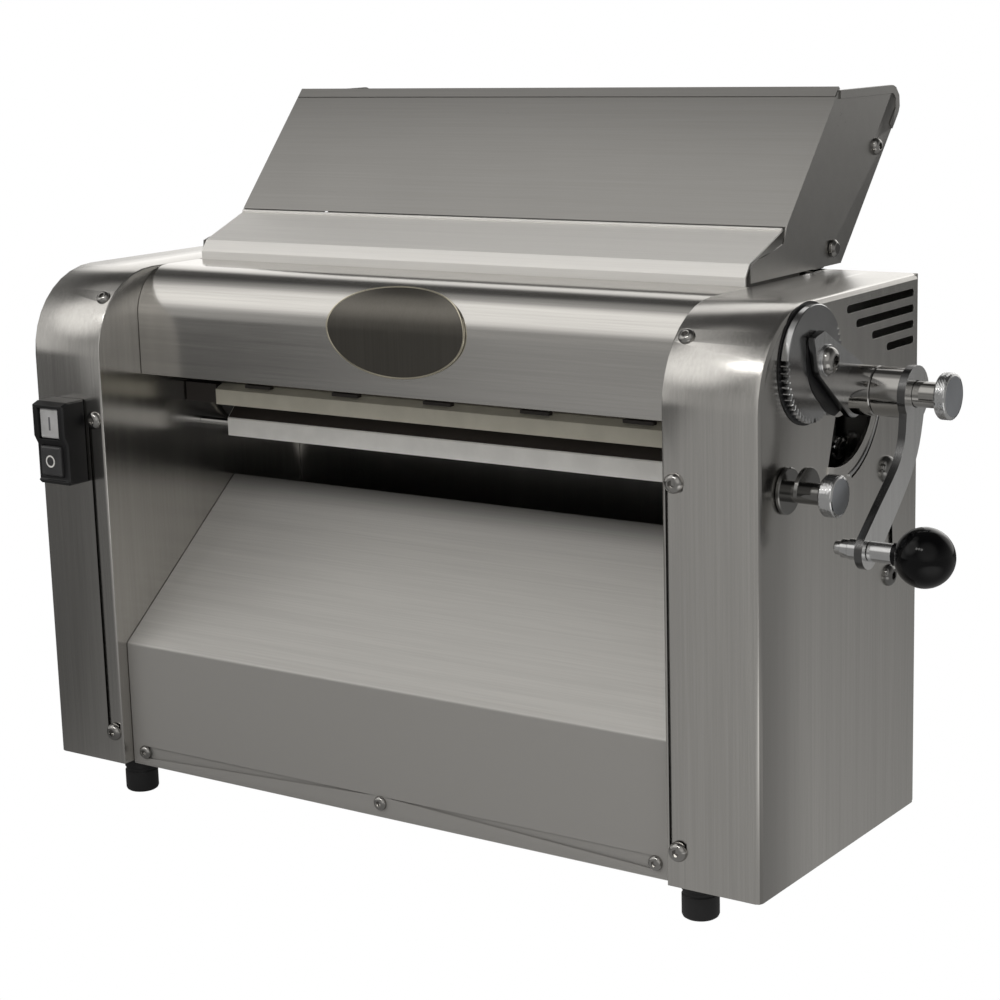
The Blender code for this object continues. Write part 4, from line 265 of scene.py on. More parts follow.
def make_world():
    world = bpy.data.worlds.new("studio")
    world.use_nodes = True
    world.node_tree.nodes.clear()
    g = Graph(world.node_tree)
    way = g.node("ShaderNodeTexCoord").outputs["Generated"]
    height = g.vector("DOT_PRODUCT", way, (0.0, 0.0, 1.0))
    total = g.ramp(height, 0.0, CEILING_SINE, HORIZON_LIGHT, CEILING_LIGHT)
    for _, azimuth, elevation, full, end, light in PATCHES:
        near = g.vector("DOT_PRODUCT", way, tuple(direction(azimuth, elevation)))
        edge = math.cos(math.radians(end))
        core = math.cos(math.radians(full))
        total = g.math("ADD", total, g.ramp(near, edge, core, 0.0, light))
    room = g.glow("ShaderNodeBackground", ROOM_TINT, total)
    paper = g.glow("ShaderNodeBackground", WHITE, 1.0)
    g.seen_or_lit(room, paper, "ShaderNodeOutputWorld", "Surface")
    bpy.context.scene.world = world


make_world()
print("light patches:", len(PATCHES))

# %% [markdown]
# The floor is a plain white sheet to the camera. What the steel mirrors of it is a grey
# table, brighter at the right front than at the far left, with one lit spot low beside the
# right tower. One plane is enough for both, because a shader can tell the camera's rays apart.

# %% Floor
FLOOR_HALF = 7.0
FLOOR_MIDDLE = 0.25
FLOOR_SLOPE = (0.40, -0.30, 0.0)
FLOOR_LEAST = 0.11
FLOOR_MOST = 0.36
FLOOR_LIT_AT = (0.65, -0.38, 0.0)
FLOOR_LIT_SPAN = (0.12, 0.42)
FLOOR_LIT = 0.85
FLOOR_CELLS = 8
TABLE_TINT = (1.0, 0.99, 0.97, 1.0)


def make_floor():
    mesh = bpy.data.meshes.new("floor")
    work = bmesh.new()
    bmesh.ops.create_grid(work, x_segments=FLOOR_CELLS, y_segments=FLOOR_CELLS, size=FLOOR_HALF)
    work.to_mesh(mesh)
    work.free()
    floor = bpy.data.objects.new("floor", mesh)
    floor.location = (0.0, 0.0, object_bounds()[0][2] - SEAT)
    bpy.context.scene.collection.objects.link(floor)
    look = bpy.data.materials.new("floor")
    look.use_nodes = True
    look.node_tree.nodes.clear()
    g = Graph(look.node_tree)
    place = g.node("ShaderNodeTexCoord").outputs["Object"]
    grey = g.math("ADD", g.vector("DOT_PRODUCT", place, FLOOR_SLOPE), FLOOR_MIDDLE)
    grey = g.math("MINIMUM", g.math("MAXIMUM", grey, FLOOR_LEAST), FLOOR_MOST)
    away = g.vector("DISTANCE", place, FLOOR_LIT_AT)
    grey = g.math("ADD", grey, g.ramp(away, *FLOOR_LIT_SPAN, FLOOR_LIT, 0.0))
    table = g.glow("ShaderNodeEmission", TABLE_TINT, grey)
    paper = g.glow("ShaderNodeEmission", WHITE, 1.0)
    g.seen_or_lit(table, paper, "ShaderNodeOutputMaterial", "Surface")
    mesh.materials.append(look)
    floor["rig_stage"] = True
    return floor


floor = make_floor()
print("floor at", round(floor.location.z, 4))

# %% [markdown]
# ## Brushed steel
# Brushed sheet is a mirror scratched one way. Three noises make it: fine scratches and wider
# streaks along the grain, and round soft smudges. They change the roughness, a touch of the
# tint, and a shallow bump. A picture of scratches would repeat and blur close up.

# %% Noise and bump helpers
STEEL_TINT = (0.585, 0.572, 0.548)
COOL_TINT = (0.560, 0.562, 0.565)
GRAIN = {"X": (1.0, 0.0, 0.0), "Y": (0.0, 1.0, 0.0), "Z": (0.0, 0.0, 1.0)}
SCRATCHES_PER_M = 900.0
STREAKS_PER_M = 130.0
SMUDGES_PER_M = 16.0
ALONG_SHARE = 0.012
FINE_DETAIL = 3.0
WIDE_DETAIL = 2.0
FINE_SHARE = 0.6
WIDE_SHARE = 0.4
CONTRAST = (0.30, 0.70)
SCRATCH_DEPTH = 0.15 * MM


def new_look(name):
    """A new material, its graph, its surface shader and the place on the object."""
    look = bpy.data.materials.new(name)
    look.use_nodes = True
    g = Graph(look.node_tree)
    place = g.node("ShaderNodeTexCoord").outputs["Object"]
    return look, g, look.node_tree.nodes["Principled BSDF"], place


def tone(tint, share=1.0):
    """The tint made darker or paler, with full opacity."""
    return tuple(min(1.0, v * share) for v in tint) + (1.0,)


def noise(g, place, per_m, detail, scale=None, roughness=None):
    """Noise of per_m grains to the metre; scale stretches the place it is read at."""
    if scale is not None:
        mapping = g.node("ShaderNodeMapping")
        mapping.inputs["Scale"].default_value = scale
        g.link(place, mapping.inputs["Vector"])
        place = mapping.outputs[0]
    made = g.node("ShaderNodeTexNoise")
    made.inputs["Scale"].default_value = per_m
    made.inputs["Detail"].default_value = detail
    if roughness is not None:
        made.inputs["Roughness"].default_value = roughness
    g.link(place, made.inputs["Vector"])
    return made.outputs["Fac"]


def stretched_noise(g, place, along, per_m, detail):
    """Noise with per_m grains to the metre across, drawn out along one axis."""
    scale = [per_m * (ALONG_SHARE if part else 1.0) for part in GRAIN[along]]
    return noise(g, place, 1.0, detail, scale, 0.6)


def add_bump(g, shader, height, strength, distance):
    bump = g.node("ShaderNodeBump")
    bump.inputs["Strength"].default_value = strength
    bump.inputs["Distance"].default_value = distance
    g.link(height, bump.inputs["Height"])
    g.link(bump.outputs[0], shader.inputs["Normal"])


print("grain axes:", sorted(GRAIN))

# %% [markdown]
# The highlight is drawn out across the grain, so the tangent is the cross product of normal
# and grain. Three painted shades go by place or normal, which needs no unwrapping. `edges`
# paints shade on faces that look away from an axis, as a plate's cut edges. `front` paints
# shade on a side sheet behind the tower's front edge, `rear` on the chute's top in the shade
# of the scraper bars.

# %% Brushed steel
# How deep and how dark the painted shade behind the front edge and at the chute's top is.
FADE_DEPTH = 70 * MM
REAR_FADE = (24 * MM, 3 * MM)
SIDE_ON = (0.70, 0.95)
FRONT_DIM = 0.5
REAR_DIM = 0.12


# Paints shade into the colour: faces turned from an axis, behind the front edge, at the rear.
def paint_shade_by_place(g, place, normal, colour, tint, edges, front, rear):
    if edges:
        axis, low, high, other = edges
        facing = g.math("ABSOLUTE", g.vector("DOT_PRODUCT", normal, GRAIN[axis]))
        colour = g.mix(g.ramp(facing, low, high), tone(other), colour)
    depth_in = g.vector("DOT_PRODUCT", place, GRAIN["Y"]) if front or rear else None
    if front:
        shade = g.ramp(depth_in, FRONT_Y, FRONT_Y + FADE_DEPTH, front, 0.0)
        sideways = g.ramp(g.vector("DOT_PRODUCT", normal, GRAIN["X"]), *SIDE_ON)
        colour = g.mix(g.math("MULTIPLY", shade, sideways), colour, tone(tint, FRONT_DIM))
    if rear:
        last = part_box("chute_panel")[1].y
        shade = g.ramp(depth_in, last - REAR_FADE[0], last - REAR_FADE[1], 0.0, rear)
        colour = g.mix(shade, colour, tone(tint, REAR_DIM))
    return colour


def brushed(name, grain, rough, tint=STEEL_TINT, scratch=0.06, smudge=0.06, drawn=0.55,
            depth=0.05, metal=1.0, streak=0.06, edges=None, front=0.0, rear=0.0):
    look, g, shader, place = new_look(name)
    fine = stretched_noise(g, place, grain, SCRATCHES_PER_M, FINE_DETAIL)
    wide = stretched_noise(g, place, grain, STREAKS_PER_M, WIDE_DETAIL)
    soft = noise(g, place, SMUDGES_PER_M, FINE_DETAIL)
    least = rough - scratch / 2 - smudge / 2 - scratch / 4
    level = g.math("MULTIPLY_ADD", fine, scratch, least)
    level = g.math("MULTIPLY_ADD", wide, scratch / 2, level)
    level = g.math("MULTIPLY_ADD", soft, smudge, level, clamp=True)
    g.link(level, shader.inputs["Roughness"])
    both = g.math("MULTIPLY_ADD", fine, FINE_SHARE, g.math("MULTIPLY", wide, WIDE_SHARE))
    colour = g.mix(g.ramp(both, *CONTRAST), tone(tint, 1.0 - streak), tone(tint, 1.0 + streak))
    normal = g.node("ShaderNodeNewGeometry").outputs["Normal"]
    colour = paint_shade_by_place(g, place, normal, colour, tint, edges, front, rear)
    g.link(colour, shader.inputs["Base Color"])
    add_bump(g, shader, both, depth, SCRATCH_DEPTH)
    shader.inputs["Metallic"].default_value = metal
    shader.inputs["Anisotropic"].default_value = drawn
    g.link(g.vector("CROSS_PRODUCT", normal, GRAIN[grain]), shader.inputs["Tangent"])
    return look


print("brushed steel ready, shade behind the front edge:", FADE_DEPTH, "m deep")

# %% [markdown]
# ## Turned, cast and moulded surfaces
# Turned pieces show faint rings instead of straight grain, cast pieces a pebbled skin, and
# moulded plastic a fine satin grain with a little wear. Such grain as geometry would be far
# too heavy, so a bump of a tenth of a millimetre stands for it.

# %% Turned and pebbled finishes
RINGS_ACROSS = 60.0
WEAR_PER_M = 70.0
WEAR_DETAIL = 4.0
WEAR_SHARE = 1.6
WEAR_TONES = (0.88, 1.06)
RING_BUMP = 0.06
SKIN_DEPTH = 0.1 * MM
GRAINS_TO_CLOUD = 22.0
PALE_SHARE = 0.7


def turned_metal(name, rough, tint=STEEL_TINT, ring=0.05, rings_in_m=1600.0):
    look, g, shader, place = new_look(name)
    rings = noise(g, place, 1.0, WIDE_DETAIL, (rings_in_m, RINGS_ACROSS, RINGS_ACROSS))
    wear = noise(g, place, WEAR_PER_M, WEAR_DETAIL)
    level = g.math("MULTIPLY_ADD", rings, ring, rough - ring)
    level = g.math("MULTIPLY_ADD", wear, ring * WEAR_SHARE, level, clamp=True)
    g.link(level, shader.inputs["Roughness"])
    dark, pale = (tone(tint, share) for share in WEAR_TONES)
    g.link(g.mix(wear, dark, pale), shader.inputs["Base Color"])
    add_bump(g, shader, rings, RING_BUMP, SKIN_DEPTH)
    shader.inputs["Metallic"].default_value = 1.0
    return look


def pebbled(name, colour, rough, metallic=0.0, grains=1500.0, depth=0.25, spread=0.15,
            shine=0.5, shade=0.14):
    look, g, shader, place = new_look(name)
    grain = noise(g, place, grains, FINE_DETAIL)
    cloud = noise(g, place, grains / GRAINS_TO_CLOUD, WEAR_DETAIL)
    level = g.math("MULTIPLY_ADD", cloud, spread, rough - spread / 2, clamp=True)
    g.link(level, shader.inputs["Roughness"])
    dark = tone(colour, 1.0 - shade)
    pale = tone(colour, 1.0 + shade * PALE_SHARE)
    g.link(g.mix(g.ramp(cloud, *CONTRAST), dark, pale), shader.inputs["Base Color"])
    add_bump(g, shader, grain, depth, SKIN_DEPTH)
    shader.inputs["Metallic"].default_value = metallic
    shader.inputs["Specular IOR Level"].default_value = shine
    return look


print("tones of worn steel:", WEAR_TONES)

# %% [markdown]
# ## The looks
# With a material for each piece, like metals would drift apart, so all share one table. The
# chute and the lip are duller than a mirror: only partly metallic, they scatter the rest.

# %% Table of looks
LOOKS = {
    "tower": brushed("tower_steel", "Z", 0.22),
    # Painted shade on the right tower's side sheet, behind its front edge.
    "right_tower": brushed("right_tower_steel", "Z", 0.22, front=0.9),
    "cover": brushed("cover_steel", "X", 0.17, drawn=0.35),
    # Painted shade on the chute's faces that don't face up, and along its top under the bars.
    "chute": brushed("chute_steel", "X", 0.52, tint=(0.630, 0.619, 0.596), drawn=0.60,
                     depth=0.03, metal=0.45, edges=("Z", 0.25, 0.65, (0.400, 0.390, 0.375)),
                     rear=0.85),
    "guard": brushed("guard_steel", "X", 0.30, tint=(0.275, 0.270, 0.260), streak=0.04),
    "lip": brushed("lip_steel", "X", 0.42, tint=(0.930, 0.915, 0.885), streak=0.03, metal=0.40),
    # The link plate's rim faces are painted near black: painted shade round the plate.
    "plate_bright": brushed("link_steel", "Z", 0.24, tint=COOL_TINT,
                            edges=("X", 0.60, 0.92, (0.070, 0.070, 0.070))),
    "plate": brushed("plate_steel", "Y", 0.34, tint=(0.50, 0.50, 0.50)),
    # The lever arm's side faces are painted dark: painted shade along its edges.
    "arm": brushed("arm_steel", "Z", 0.24, tint=(0.760, 0.760, 0.755),
                   edges=("X", 0.55, 0.9, (0.130, 0.130, 0.130))),
    "turned": turned_metal("turned_steel", 0.15, tint=COOL_TINT),
    "polished": turned_metal("polished_steel", 0.09, tint=(0.360, 0.352, 0.340), ring=0.03),
    "wheel": turned_metal("wheel_steel", 0.17, tint=(0.46, 0.462, 0.465)),
    "grip_face": turned_metal("grip_steel", 0.30, tint=(0.50, 0.52, 0.55), ring=0.06),
    "dark_fit": turned_metal("dark_steel", 0.10, tint=(0.20, 0.198, 0.192), ring=0.03),
    # Brown for the clips and the bar's end, and for the strip of painted shade on the lower bar.
    "brown": pebbled("brown_parts_and_shade", (0.030, 0.024, 0.021), 0.55, grains=800.0, depth=0.12),
    "roller": turned_metal("roller_steel", 0.12, ring=0.04, rings_in_m=500.0),
    "cast": pebbled("cast_metal", (0.36, 0.37, 0.38), 0.45, metallic=1.0, grains=500.0),
    "gear": pebbled("gear_metal", (0.42, 0.41, 0.40), 0.38, metallic=1.0, grains=700.0,
                    depth=0.12),
    "motor": pebbled("motor_paint", (0.12, 0.14, 0.17), 0.42, grains=600.0),
    "cream": pebbled("cream_plastic", (0.66, 0.63, 0.53), 0.42, grains=1200.0, depth=0.06,
                     shade=0.06),
    "pale": pebbled("pale_plastic", (0.92, 0.91, 0.88), 0.38, grains=1200.0, depth=0.06,
                    shade=0.05),
    "black": pebbled("black_plastic", (0.010, 0.010, 0.011), 0.36, depth=0.18),
    "gloss": pebbled("gloss_black", (0.003, 0.003, 0.0035), 0.10, grains=300.0,
                     depth=0.02, spread=0.05, shine=0.18),
    "rubber": pebbled("foot_rubber", (0.013, 0.013, 0.014), 0.62, grains=1400.0,
                      depth=0.30),
    "light_key": pebbled("light_key", (0.60, 0.60, 0.60), 0.34, depth=0.08),
    "dark_key": pebbled("dark_key", (0.055, 0.055, 0.057), 0.34, depth=0.08),
    "ink": pebbled("symbol_ink", (0.16, 0.16, 0.17), 0.5, depth=0.05),
    "plate_face": brushed("badge_face", "Z", 0.34, tint=(0.125, 0.118, 0.105), scratch=0.10),
    "plate_rim": turned_metal("badge_rim", 0.28, tint=(0.60, 0.56, 0.45)),
}
print("looks:", len(LOOKS))

# %% [markdown]
# ## Making pieces
# `register` turns a mesh into a piece that rides on a body. `dressed` makes a finer piece from
# a solid: flat faces joined up again, and plain screw heads taken off for detailed ones. Real
# sheet has no razor edges; a bevel modifier finds every sharp edge by its angle, which beats
# cutting them by hand.

# %% Register and dress
SHARP = math.radians(32)
HEAD_SLACK = 1.04
HEAD_RISE_SLACK = 1.1
HEAD_DIP = 0.1 * MM
MERGE = 0.01 * MM
FLAT = math.radians(0.6)


def register(name, work, look, body, replaces="", edge=0.0, steps=2,
             sharp=SHARP):
    """Closes a bmesh into one visible piece. One named dress_ and a node's name replaces it."""
    bmesh.ops.recalc_face_normals(work, faces=work.faces)
    mesh = bpy.data.meshes.new(name)
    work.to_mesh(mesh)
    work.free()
    mesh.materials.append(LOOKS[look])
    obj = bpy.data.objects.new(name, mesh)
    bpy.context.scene.collection.objects.link(obj)
    for face in mesh.polygons:
        face.use_smooth = True
    mesh.set_sharp_from_angle(angle=sharp)
    if edge > 0:
        bevel = obj.modifiers.new("edge", "BEVEL")
        bevel.width = edge
        bevel.segments = steps
        bevel.limit_method = "ANGLE"
        bevel.angle_limit = sharp
        bevel.harden_normals = True
    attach(obj, body)
    node = replaces or name.removeprefix("dress_")
    if node in frame["nodes"]:
        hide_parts(node)
    return obj


def in_heads(vertex, heads):
    """Whether a point belongs to one of the plain screw heads."""
    for place, normal, radius, height in heads:
        step = vertex - place
        out = step.dot(normal)
        side = (step - normal * out).length
        if side < radius * HEAD_SLACK and -HEAD_DIP < out < height * HEAD_RISE_SLACK:
            return True
    return False


def dressed(node, look, edge=0.35 * MM, heads=(), steps=2):
    source = frame["nodes"][node]
    work = bmesh.new()
    work.from_mesh(source.data)
    bmesh.ops.remove_doubles(work, verts=work.verts, dist=MERGE)
    if heads:
        gone = [f for f in work.faces if all(in_heads(v.co, heads) for v in f.verts)]
        bmesh.ops.delete(work, geom=gone, context="FACES")
    bmesh.ops.dissolve_limit(work, angle_limit=FLAT, verts=work.verts, edges=work.edges)
    body = source["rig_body"]
    return register("dress_" + node, work, look, body, edge=edge, steps=steps)


def recoat(look, *nodes):
    """A better material on a CAD node whose shape is right."""
    for node in nodes:
        obj = frame["nodes"][node]
        obj.data.materials.clear()
        obj.data.materials.append(LOOKS[look])


print("edges sharper than", round(math.degrees(SHARP)), "degrees are rounded")

# %% [markdown]
# Three ways to build a mesh cover nearly every fitting: a profile turned round an axis,
# an outline run along X, and a plate whose rim is read off a solid's flat face. Booleans on
# plain cylinders are quicker to write, but they leave long thin faces that shade badly.

# %% Shape builders
SAME_PLANE = 0.02 * MM
UPRIGHT = 0.9


def axes_of(normal):
    """Two directions square to the normal."""
    normal = Vector(normal).normalized()
    start = Vector((0.0, 0.0, 1.0)) if abs(normal.z) < UPRIGHT else Vector((0.0, 1.0, 0.0))
    across = normal.cross(start).normalized()
    return across, normal.cross(across)


def revolve(profile, place, normal=(1.0, 0.0, 0.0), segments=48, shape=None, ring=False):
    """Turns (distance along, radius) pairs round the axis; shape may change the radius by angle.
    With ring the profile closes on itself, as for a washer."""
    normal = Vector(normal).normalized()
    across, up = axes_of(normal)
    work = bmesh.new()
    rings = []
    for along, radius in profile:
        middle = Vector(place) + normal * along
        if radius <= 0:
            rings.append([work.verts.new(middle)])
            continue
        row = []
        for k in range(segments):
            a = 2 * math.pi * k / segments
            r = radius if shape is None else shape(a, along, radius)
            spot = middle + across * (r * math.cos(a)) + up * (r * math.sin(a))
            row.append(work.verts.new(spot))
        rings.append(row)
    pairs = list(zip(rings, rings[1:]))
    if ring:
        pairs.append((rings[-1], rings[0]))
    for low, high in pairs:
        for k in range(segments):
            nxt = (k + 1) % segments
            corners = [low[k % len(low)], low[nxt % len(low)]]
            corners += [high[nxt % len(high)], high[k % len(high)]]
            corners = list(dict.fromkeys(corners))
            if len(corners) > 2:
                work.faces.new(corners)
    for end in (rings[0], rings[-1]):
        if len(end) > 2 and not ring:
            work.faces.new(end)
    return work


def axis_of(node):
    """Corners of a node that was turned along X, the place of its axis, and its radius."""
    low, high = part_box(node)
    middle = (low + high) / 2
    return low, high, Vector((0.0, middle.y, middle.z)), (high.z - low.z) / 2


def prism(outline, x0, x1):
    """Runs a side outline of machine (y, z) points from x0 to x1."""
    work = bmesh.new()
    ends = [[work.verts.new(at(x, y, z)) for y, z in outline] for x in (x0, x1)]
    count = len(outline)
    for k in range(count):
        nxt = (k + 1) % count
        work.faces.new((ends[0][k], ends[0][nxt], ends[1][nxt], ends[1][k]))
    work.faces.new(ends[0])
    work.faces.new(ends[1])
    return work


def face_outline(node, x, middle, least):
    """Outline of a node's flat face at x, as (angle, radius) pairs in order round a centre."""
    found = {}
    for vertex in frame["nodes"][node].data.vertices:
        step = vertex.co - middle
        radius = math.hypot(step.y, step.z)
        if abs(vertex.co.x - x) < SAME_PLANE and radius > least:
            angle = round(math.atan2(step.z, step.y) % (2 * math.pi), 5)
            found[angle] = max(radius, found.get(angle, 0.0))
    return sorted(found.items())


def fan_plate(outline, middle, x0, x1, bore, chamfer):
    """A plate of columns round a centre, with a bore and a chamfered rim."""
    work = bmesh.new()
    columns = []
    for angle, radius in outline:
        rim = radius - chamfer
        points = [(x1, bore), (x1, rim), (x1 - chamfer, radius)]
        points += [(x0 + chamfer, radius), (x0, rim), (x0, bore)]
        out = (math.cos(angle), math.sin(angle))
        spots = [(x, middle.y + r * out[0], middle.z + r * out[1]) for x, r in points]
        columns.append([work.verts.new(spot) for spot in spots])
    for here, there in zip(columns, columns[1:] + columns[:1]):
        for j in range(len(here)):
            n = (j + 1) % len(here)
            work.faces.new((here[j], there[j], there[n], here[n]))
    return work


print("shape builders: revolve, prism, fan_plate")

# %% [markdown]
# ## Screws
# A button head with a hex socket, a little wider than the plain head that it covers. It could
# be a ball cut by a prism. One turned profile needs no cut: its inner rings are hexagons.

# %% Button head
HEAD_SEGMENTS = 36
HEAD_STEPS = 8
HEAD_MORE = 0.25 * MM
HEAD_FOOT = 0.3 * MM
HEAD_LIFT = 0.2 * MM
HEAD_SHARP = math.radians(38)
DOME_END = math.radians(68)
DOME_POWER = 0.7
SOCKET_SHARE = 0.42
SOCKET_FLARE = 1.16
SOCKET_EDGE = 0.1 * MM
SOCKET_DEPTH_SHARE = 0.62
SOCKET_FLOOR = 0.2 * MM
ROUND_FROM = 1.001


def socket_shape(radius):
    """Keeps the socket's rings hexagonal and every other ring round."""

    def shape(angle, _, here):
        if here > radius * ROUND_FROM:
            return here
        part = (angle + math.pi / 6) % (math.pi / 3) - math.pi / 6
        return here * math.cos(math.pi / 6) / math.cos(part)

    return shape


def screw(name, place, normal, radius, height, body, look="polished"):
    wide = radius + HEAD_MORE
    socket = radius * SOCKET_SHARE
    profile = [(-HEAD_FOOT, 0.0), (-HEAD_FOOT, wide)]
    for k in range(HEAD_STEPS):
        a = DOME_END * k / (HEAD_STEPS - 1)
        rise = height * math.sin(a) / math.sin(DOME_END)
        profile.append((HEAD_LIFT + rise, wide * math.cos(a) ** DOME_POWER))
    top = height + HEAD_LIFT
    deep = top - height * SOCKET_DEPTH_SHARE
    profile += [(top, socket * SOCKET_FLARE), (top - SOCKET_EDGE, socket)]
    profile += [(deep, socket), (deep - SOCKET_FLOOR, 0.0)]
    work = revolve(profile, place, normal, HEAD_SEGMENTS, socket_shape(socket))
    return register(name, work, look, body, sharp=HEAD_SHARP)


print("screw heads have a dome of", HEAD_STEPS, "rings")

# %% [markdown]
# Where the heads are: three on each tower's front, three along the foot of the panel, one on
# each cheek of the guard, and two bolts low on the right side. The same rows say which plain
# heads come off the solids.

# %% Places of the heads
RIGHT = Vector((1.0, 0.0, 0.0))
OUT_FRONT = Vector((0.0, -1.0, 0.0))
TOWER_SCREW_X = HALF_W - 54 * MM
TOWER_SCREW_HEIGHTS = (22.2 * MM, 241.5 * MM)
TOWER_ARC = 57 * MM
SCREW_R = 5.8 * MM
SCREW_H = 3.4 * MM
ARC_SCREW = math.radians(46)
ARC_R_SHARE = 0.82
ARC_H_SHARE = 0.8
PANEL_SCREW = (4.6 * MM, 2.6 * MM)
PANEL_Y = 9.3 * MM
PANEL_SCREW_Z = 8.2 * MM
PANEL_SCREW_X = (-206.5 * MM, -1.0 * MM, 205.0 * MM)
GUARD_HALF = 217.2 * MM
CHEEK_PLACE = (273.5 * MM, 411.5 * MM)
CHEEK_SCREW = (5.2 * MM, 3.4 * MM)
SIDE_BOLTS = ((161.0 * MM, 225.5 * MM, 8.2 * MM), (165.0 * MM, 158.5 * MM, 6.6 * MM))
SIDE_H_SHARE = 0.55


def tower_heads(x):
    """Place, direction, radius and height of each plain head on a tower."""
    heads = [(at(x, 0.0, z), OUT_FRONT, SCREW_R, SCREW_H) for z in TOWER_SCREW_HEIGHTS]
    slope = Vector((0.0, -math.sin(ARC_SCREW), math.cos(ARC_SCREW)))
    middle = at(x, TOWER_ARC, HEIGHT - TOWER_ARC)
    heads.append((middle + slope * TOWER_ARC, slope, SCREW_R * ARC_R_SHARE, SCREW_H * ARC_H_SHARE))
    return heads


def put_screws(stem, heads, body, look="polished"):
    for k, (place, normal, radius, height) in enumerate(heads):
        screw(f"{stem}_screw_{k}", place, normal, radius, height, body, look)


left_heads = tower_heads(-TOWER_SCREW_X)
right_heads = tower_heads(TOWER_SCREW_X)
side_heads = [(at(HALF_W, y, z), RIGHT, r, r * SIDE_H_SHARE) for y, z, r in SIDE_BOLTS]
panel_places = [at(x, PANEL_Y, PANEL_SCREW_Z) for x in PANEL_SCREW_X]
panel_heads = [(place, OUT_FRONT, *PANEL_SCREW) for place in panel_places]
cheek_heads = [(at(s * GUARD_HALF, *CHEEK_PLACE), RIGHT * s, *CHEEK_SCREW) for s in (-1, 1)]
print("plain heads on the right side:", len(right_heads + side_heads))

# %% [markdown]
# ## Towers, cover and chute
# Bent sheet steel. The solids have the right folds, so folding it anew would gain nothing:
# they are kept, with soft edges and without the plain heads. The lip's rolled hem is a thin
# turned bead. A screw of the frame shows through the right tower's window.

# %% Folded sheets
HEM_R = 1.2 * MM
HEM_IN_SHARE = 0.4
HEM_UP_SHARE = 0.2
HEM_SEGMENTS = 16
FRAME_PLACE = (229.5 * MM, 194 * MM, 229 * MM)
FRAME_SCREW = (8.0 * MM, 5.0 * MM)


def make_hem():
    """A thin round bead along the lip's upper edge."""
    low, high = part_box("throat_lip")
    place = Vector((0.0, high.y - HEM_R * HEM_IN_SHARE, high.z + HEM_R * HEM_UP_SHARE))
    profile = [(low.x, 0.0), (low.x, HEM_R), (high.x, HEM_R), (high.x, 0.0)]
    work = revolve(profile, place, segments=HEM_SEGMENTS)
    return register("lip_hem", work, "lip", "housing")


dressed("left_tower", "tower", heads=left_heads)
dressed("right_tower", "right_tower", heads=right_heads + side_heads)
put_screws("left_tower", left_heads, "housing")
put_screws("right_tower", right_heads, "housing")
put_screws("side", side_heads, "housing", "dark_fit")
screw("frame_screw", at(*FRAME_PLACE), RIGHT, *FRAME_SCREW, "housing", "turned")
dressed("chute_panel", "chute", heads=panel_heads)
put_screws("panel", panel_heads, "housing")
dressed("front_cover", "cover")
dressed("back_panel", "tower")
dressed("throat_lip", "lip", edge=0.2 * MM)
make_hem()
dressed("feed_tray", "guard")
dressed("guard", "guard", edge=0.25 * MM, heads=cheek_heads)
put_screws("cheek", cheek_heads, "guard")
print("sheet pieces dressed")

# %% [markdown]
# ## Fittings of the adjuster
# The wheel, the link plate and the small pinion are flat plates. Teeth drawn anew might miss
# each other, so their outlines are read off the solids' faces. The turned fittings are
# profiles of (distance along X, radius) pairs in millimetres, as drawn for a lathe. Narrow
# chamfers catch the light along the rims.

# %% Plates and turned fittings
LEVER_AT = (97.93, 284.86)
LOCK_AT = (31.0, 236.5)
WHEEL_AT = (57.0, 305.0)
WHEEL, LEVER, LOCK = (at(HALF_W, y * MM, z * MM) for y, z in (WHEEL_AT, LEVER_AT, LOCK_AT))
BOLT = WHEEL + Vector((10.5 * MM, 4.6 * MM, 1.9 * MM))
FITTING_SEGMENTS = 64
BOLT_LIFT = 1.0 * MM
BOLT_SIZE = (7.6 * MM, 4.4 * MM)
RIM_CUT = 0.45 * MM
TOOTH_CUT = 0.2 * MM
SHAFT_R = 8.0 * MM
WHEEL_SPAN = (0.8 * MM, 5.6 * MM)
WHEEL_BORE = 7.0 * MM
WHEEL_LEAST = 28 * MM
LINK_SPAN = (6.2 * MM, 10.5 * MM)
LINK_BORE = 8.3 * MM
LEVER_LEAST = 9.5 * MM
# A thin black disc behind the wheel, a painted shadow round the wheel's rim.
WHEEL_SHADOW_DISC = ((0.15, 8.0), (0.15, 35.2), (0.6, 35.2), (0.6, 8.0))
LINK_HOUSE = ((10.5, 8.15), (10.5, 14.5), (24.4, 14.5), (25.0, 13.9), (25.0, 8.15))
BOLT_WASHER = ((0.0, 4.0), (0.0, 9.0), (0.9, 9.0), (1.2, 8.7), (1.2, 4.0))
LEVER_SHAFT = (
    (-6.0, 0.0), (-6.0, 7.5), (-5.5, 8.0), (25.4, 8.0), (25.4, 13.9), (26.0, 14.5),
    (42.8, 14.5), (43.4, 13.9), (43.4, 5.0), (-2.0, 5.0), (-2.0, 0.0),
)
LOCK_FOOT = (
    (0.3, 4.3), (0.3, 12.9), (1.0, 13.5), (2.4, 13.5), (3.0, 12.9), (3.0, 6.2),
    (24.0, 6.2), (24.5, 5.7), (24.5, 4.3),
)


def plate_on(name, node, span, face, middle, bore, least, look, chamfer=RIM_CUT):
    """A plate from the outline of a node's face; span and face are counted from the side."""
    outline = face_outline(node, WHEEL.x + face, middle, least)
    work = fan_plate(outline, middle, WHEEL.x + span[0], WHEEL.x + span[1], bore, chamfer)
    return register(name, work, look, frame["nodes"][node]["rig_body"])


def fitting(name, place, profile, look="polished", body="housing",
            ring=True):
    profile = [(along * MM, radius * MM) for along, radius in profile]
    work = revolve(profile, place, segments=FITTING_SEGMENTS, ring=ring)
    return register(name, work, look, body)


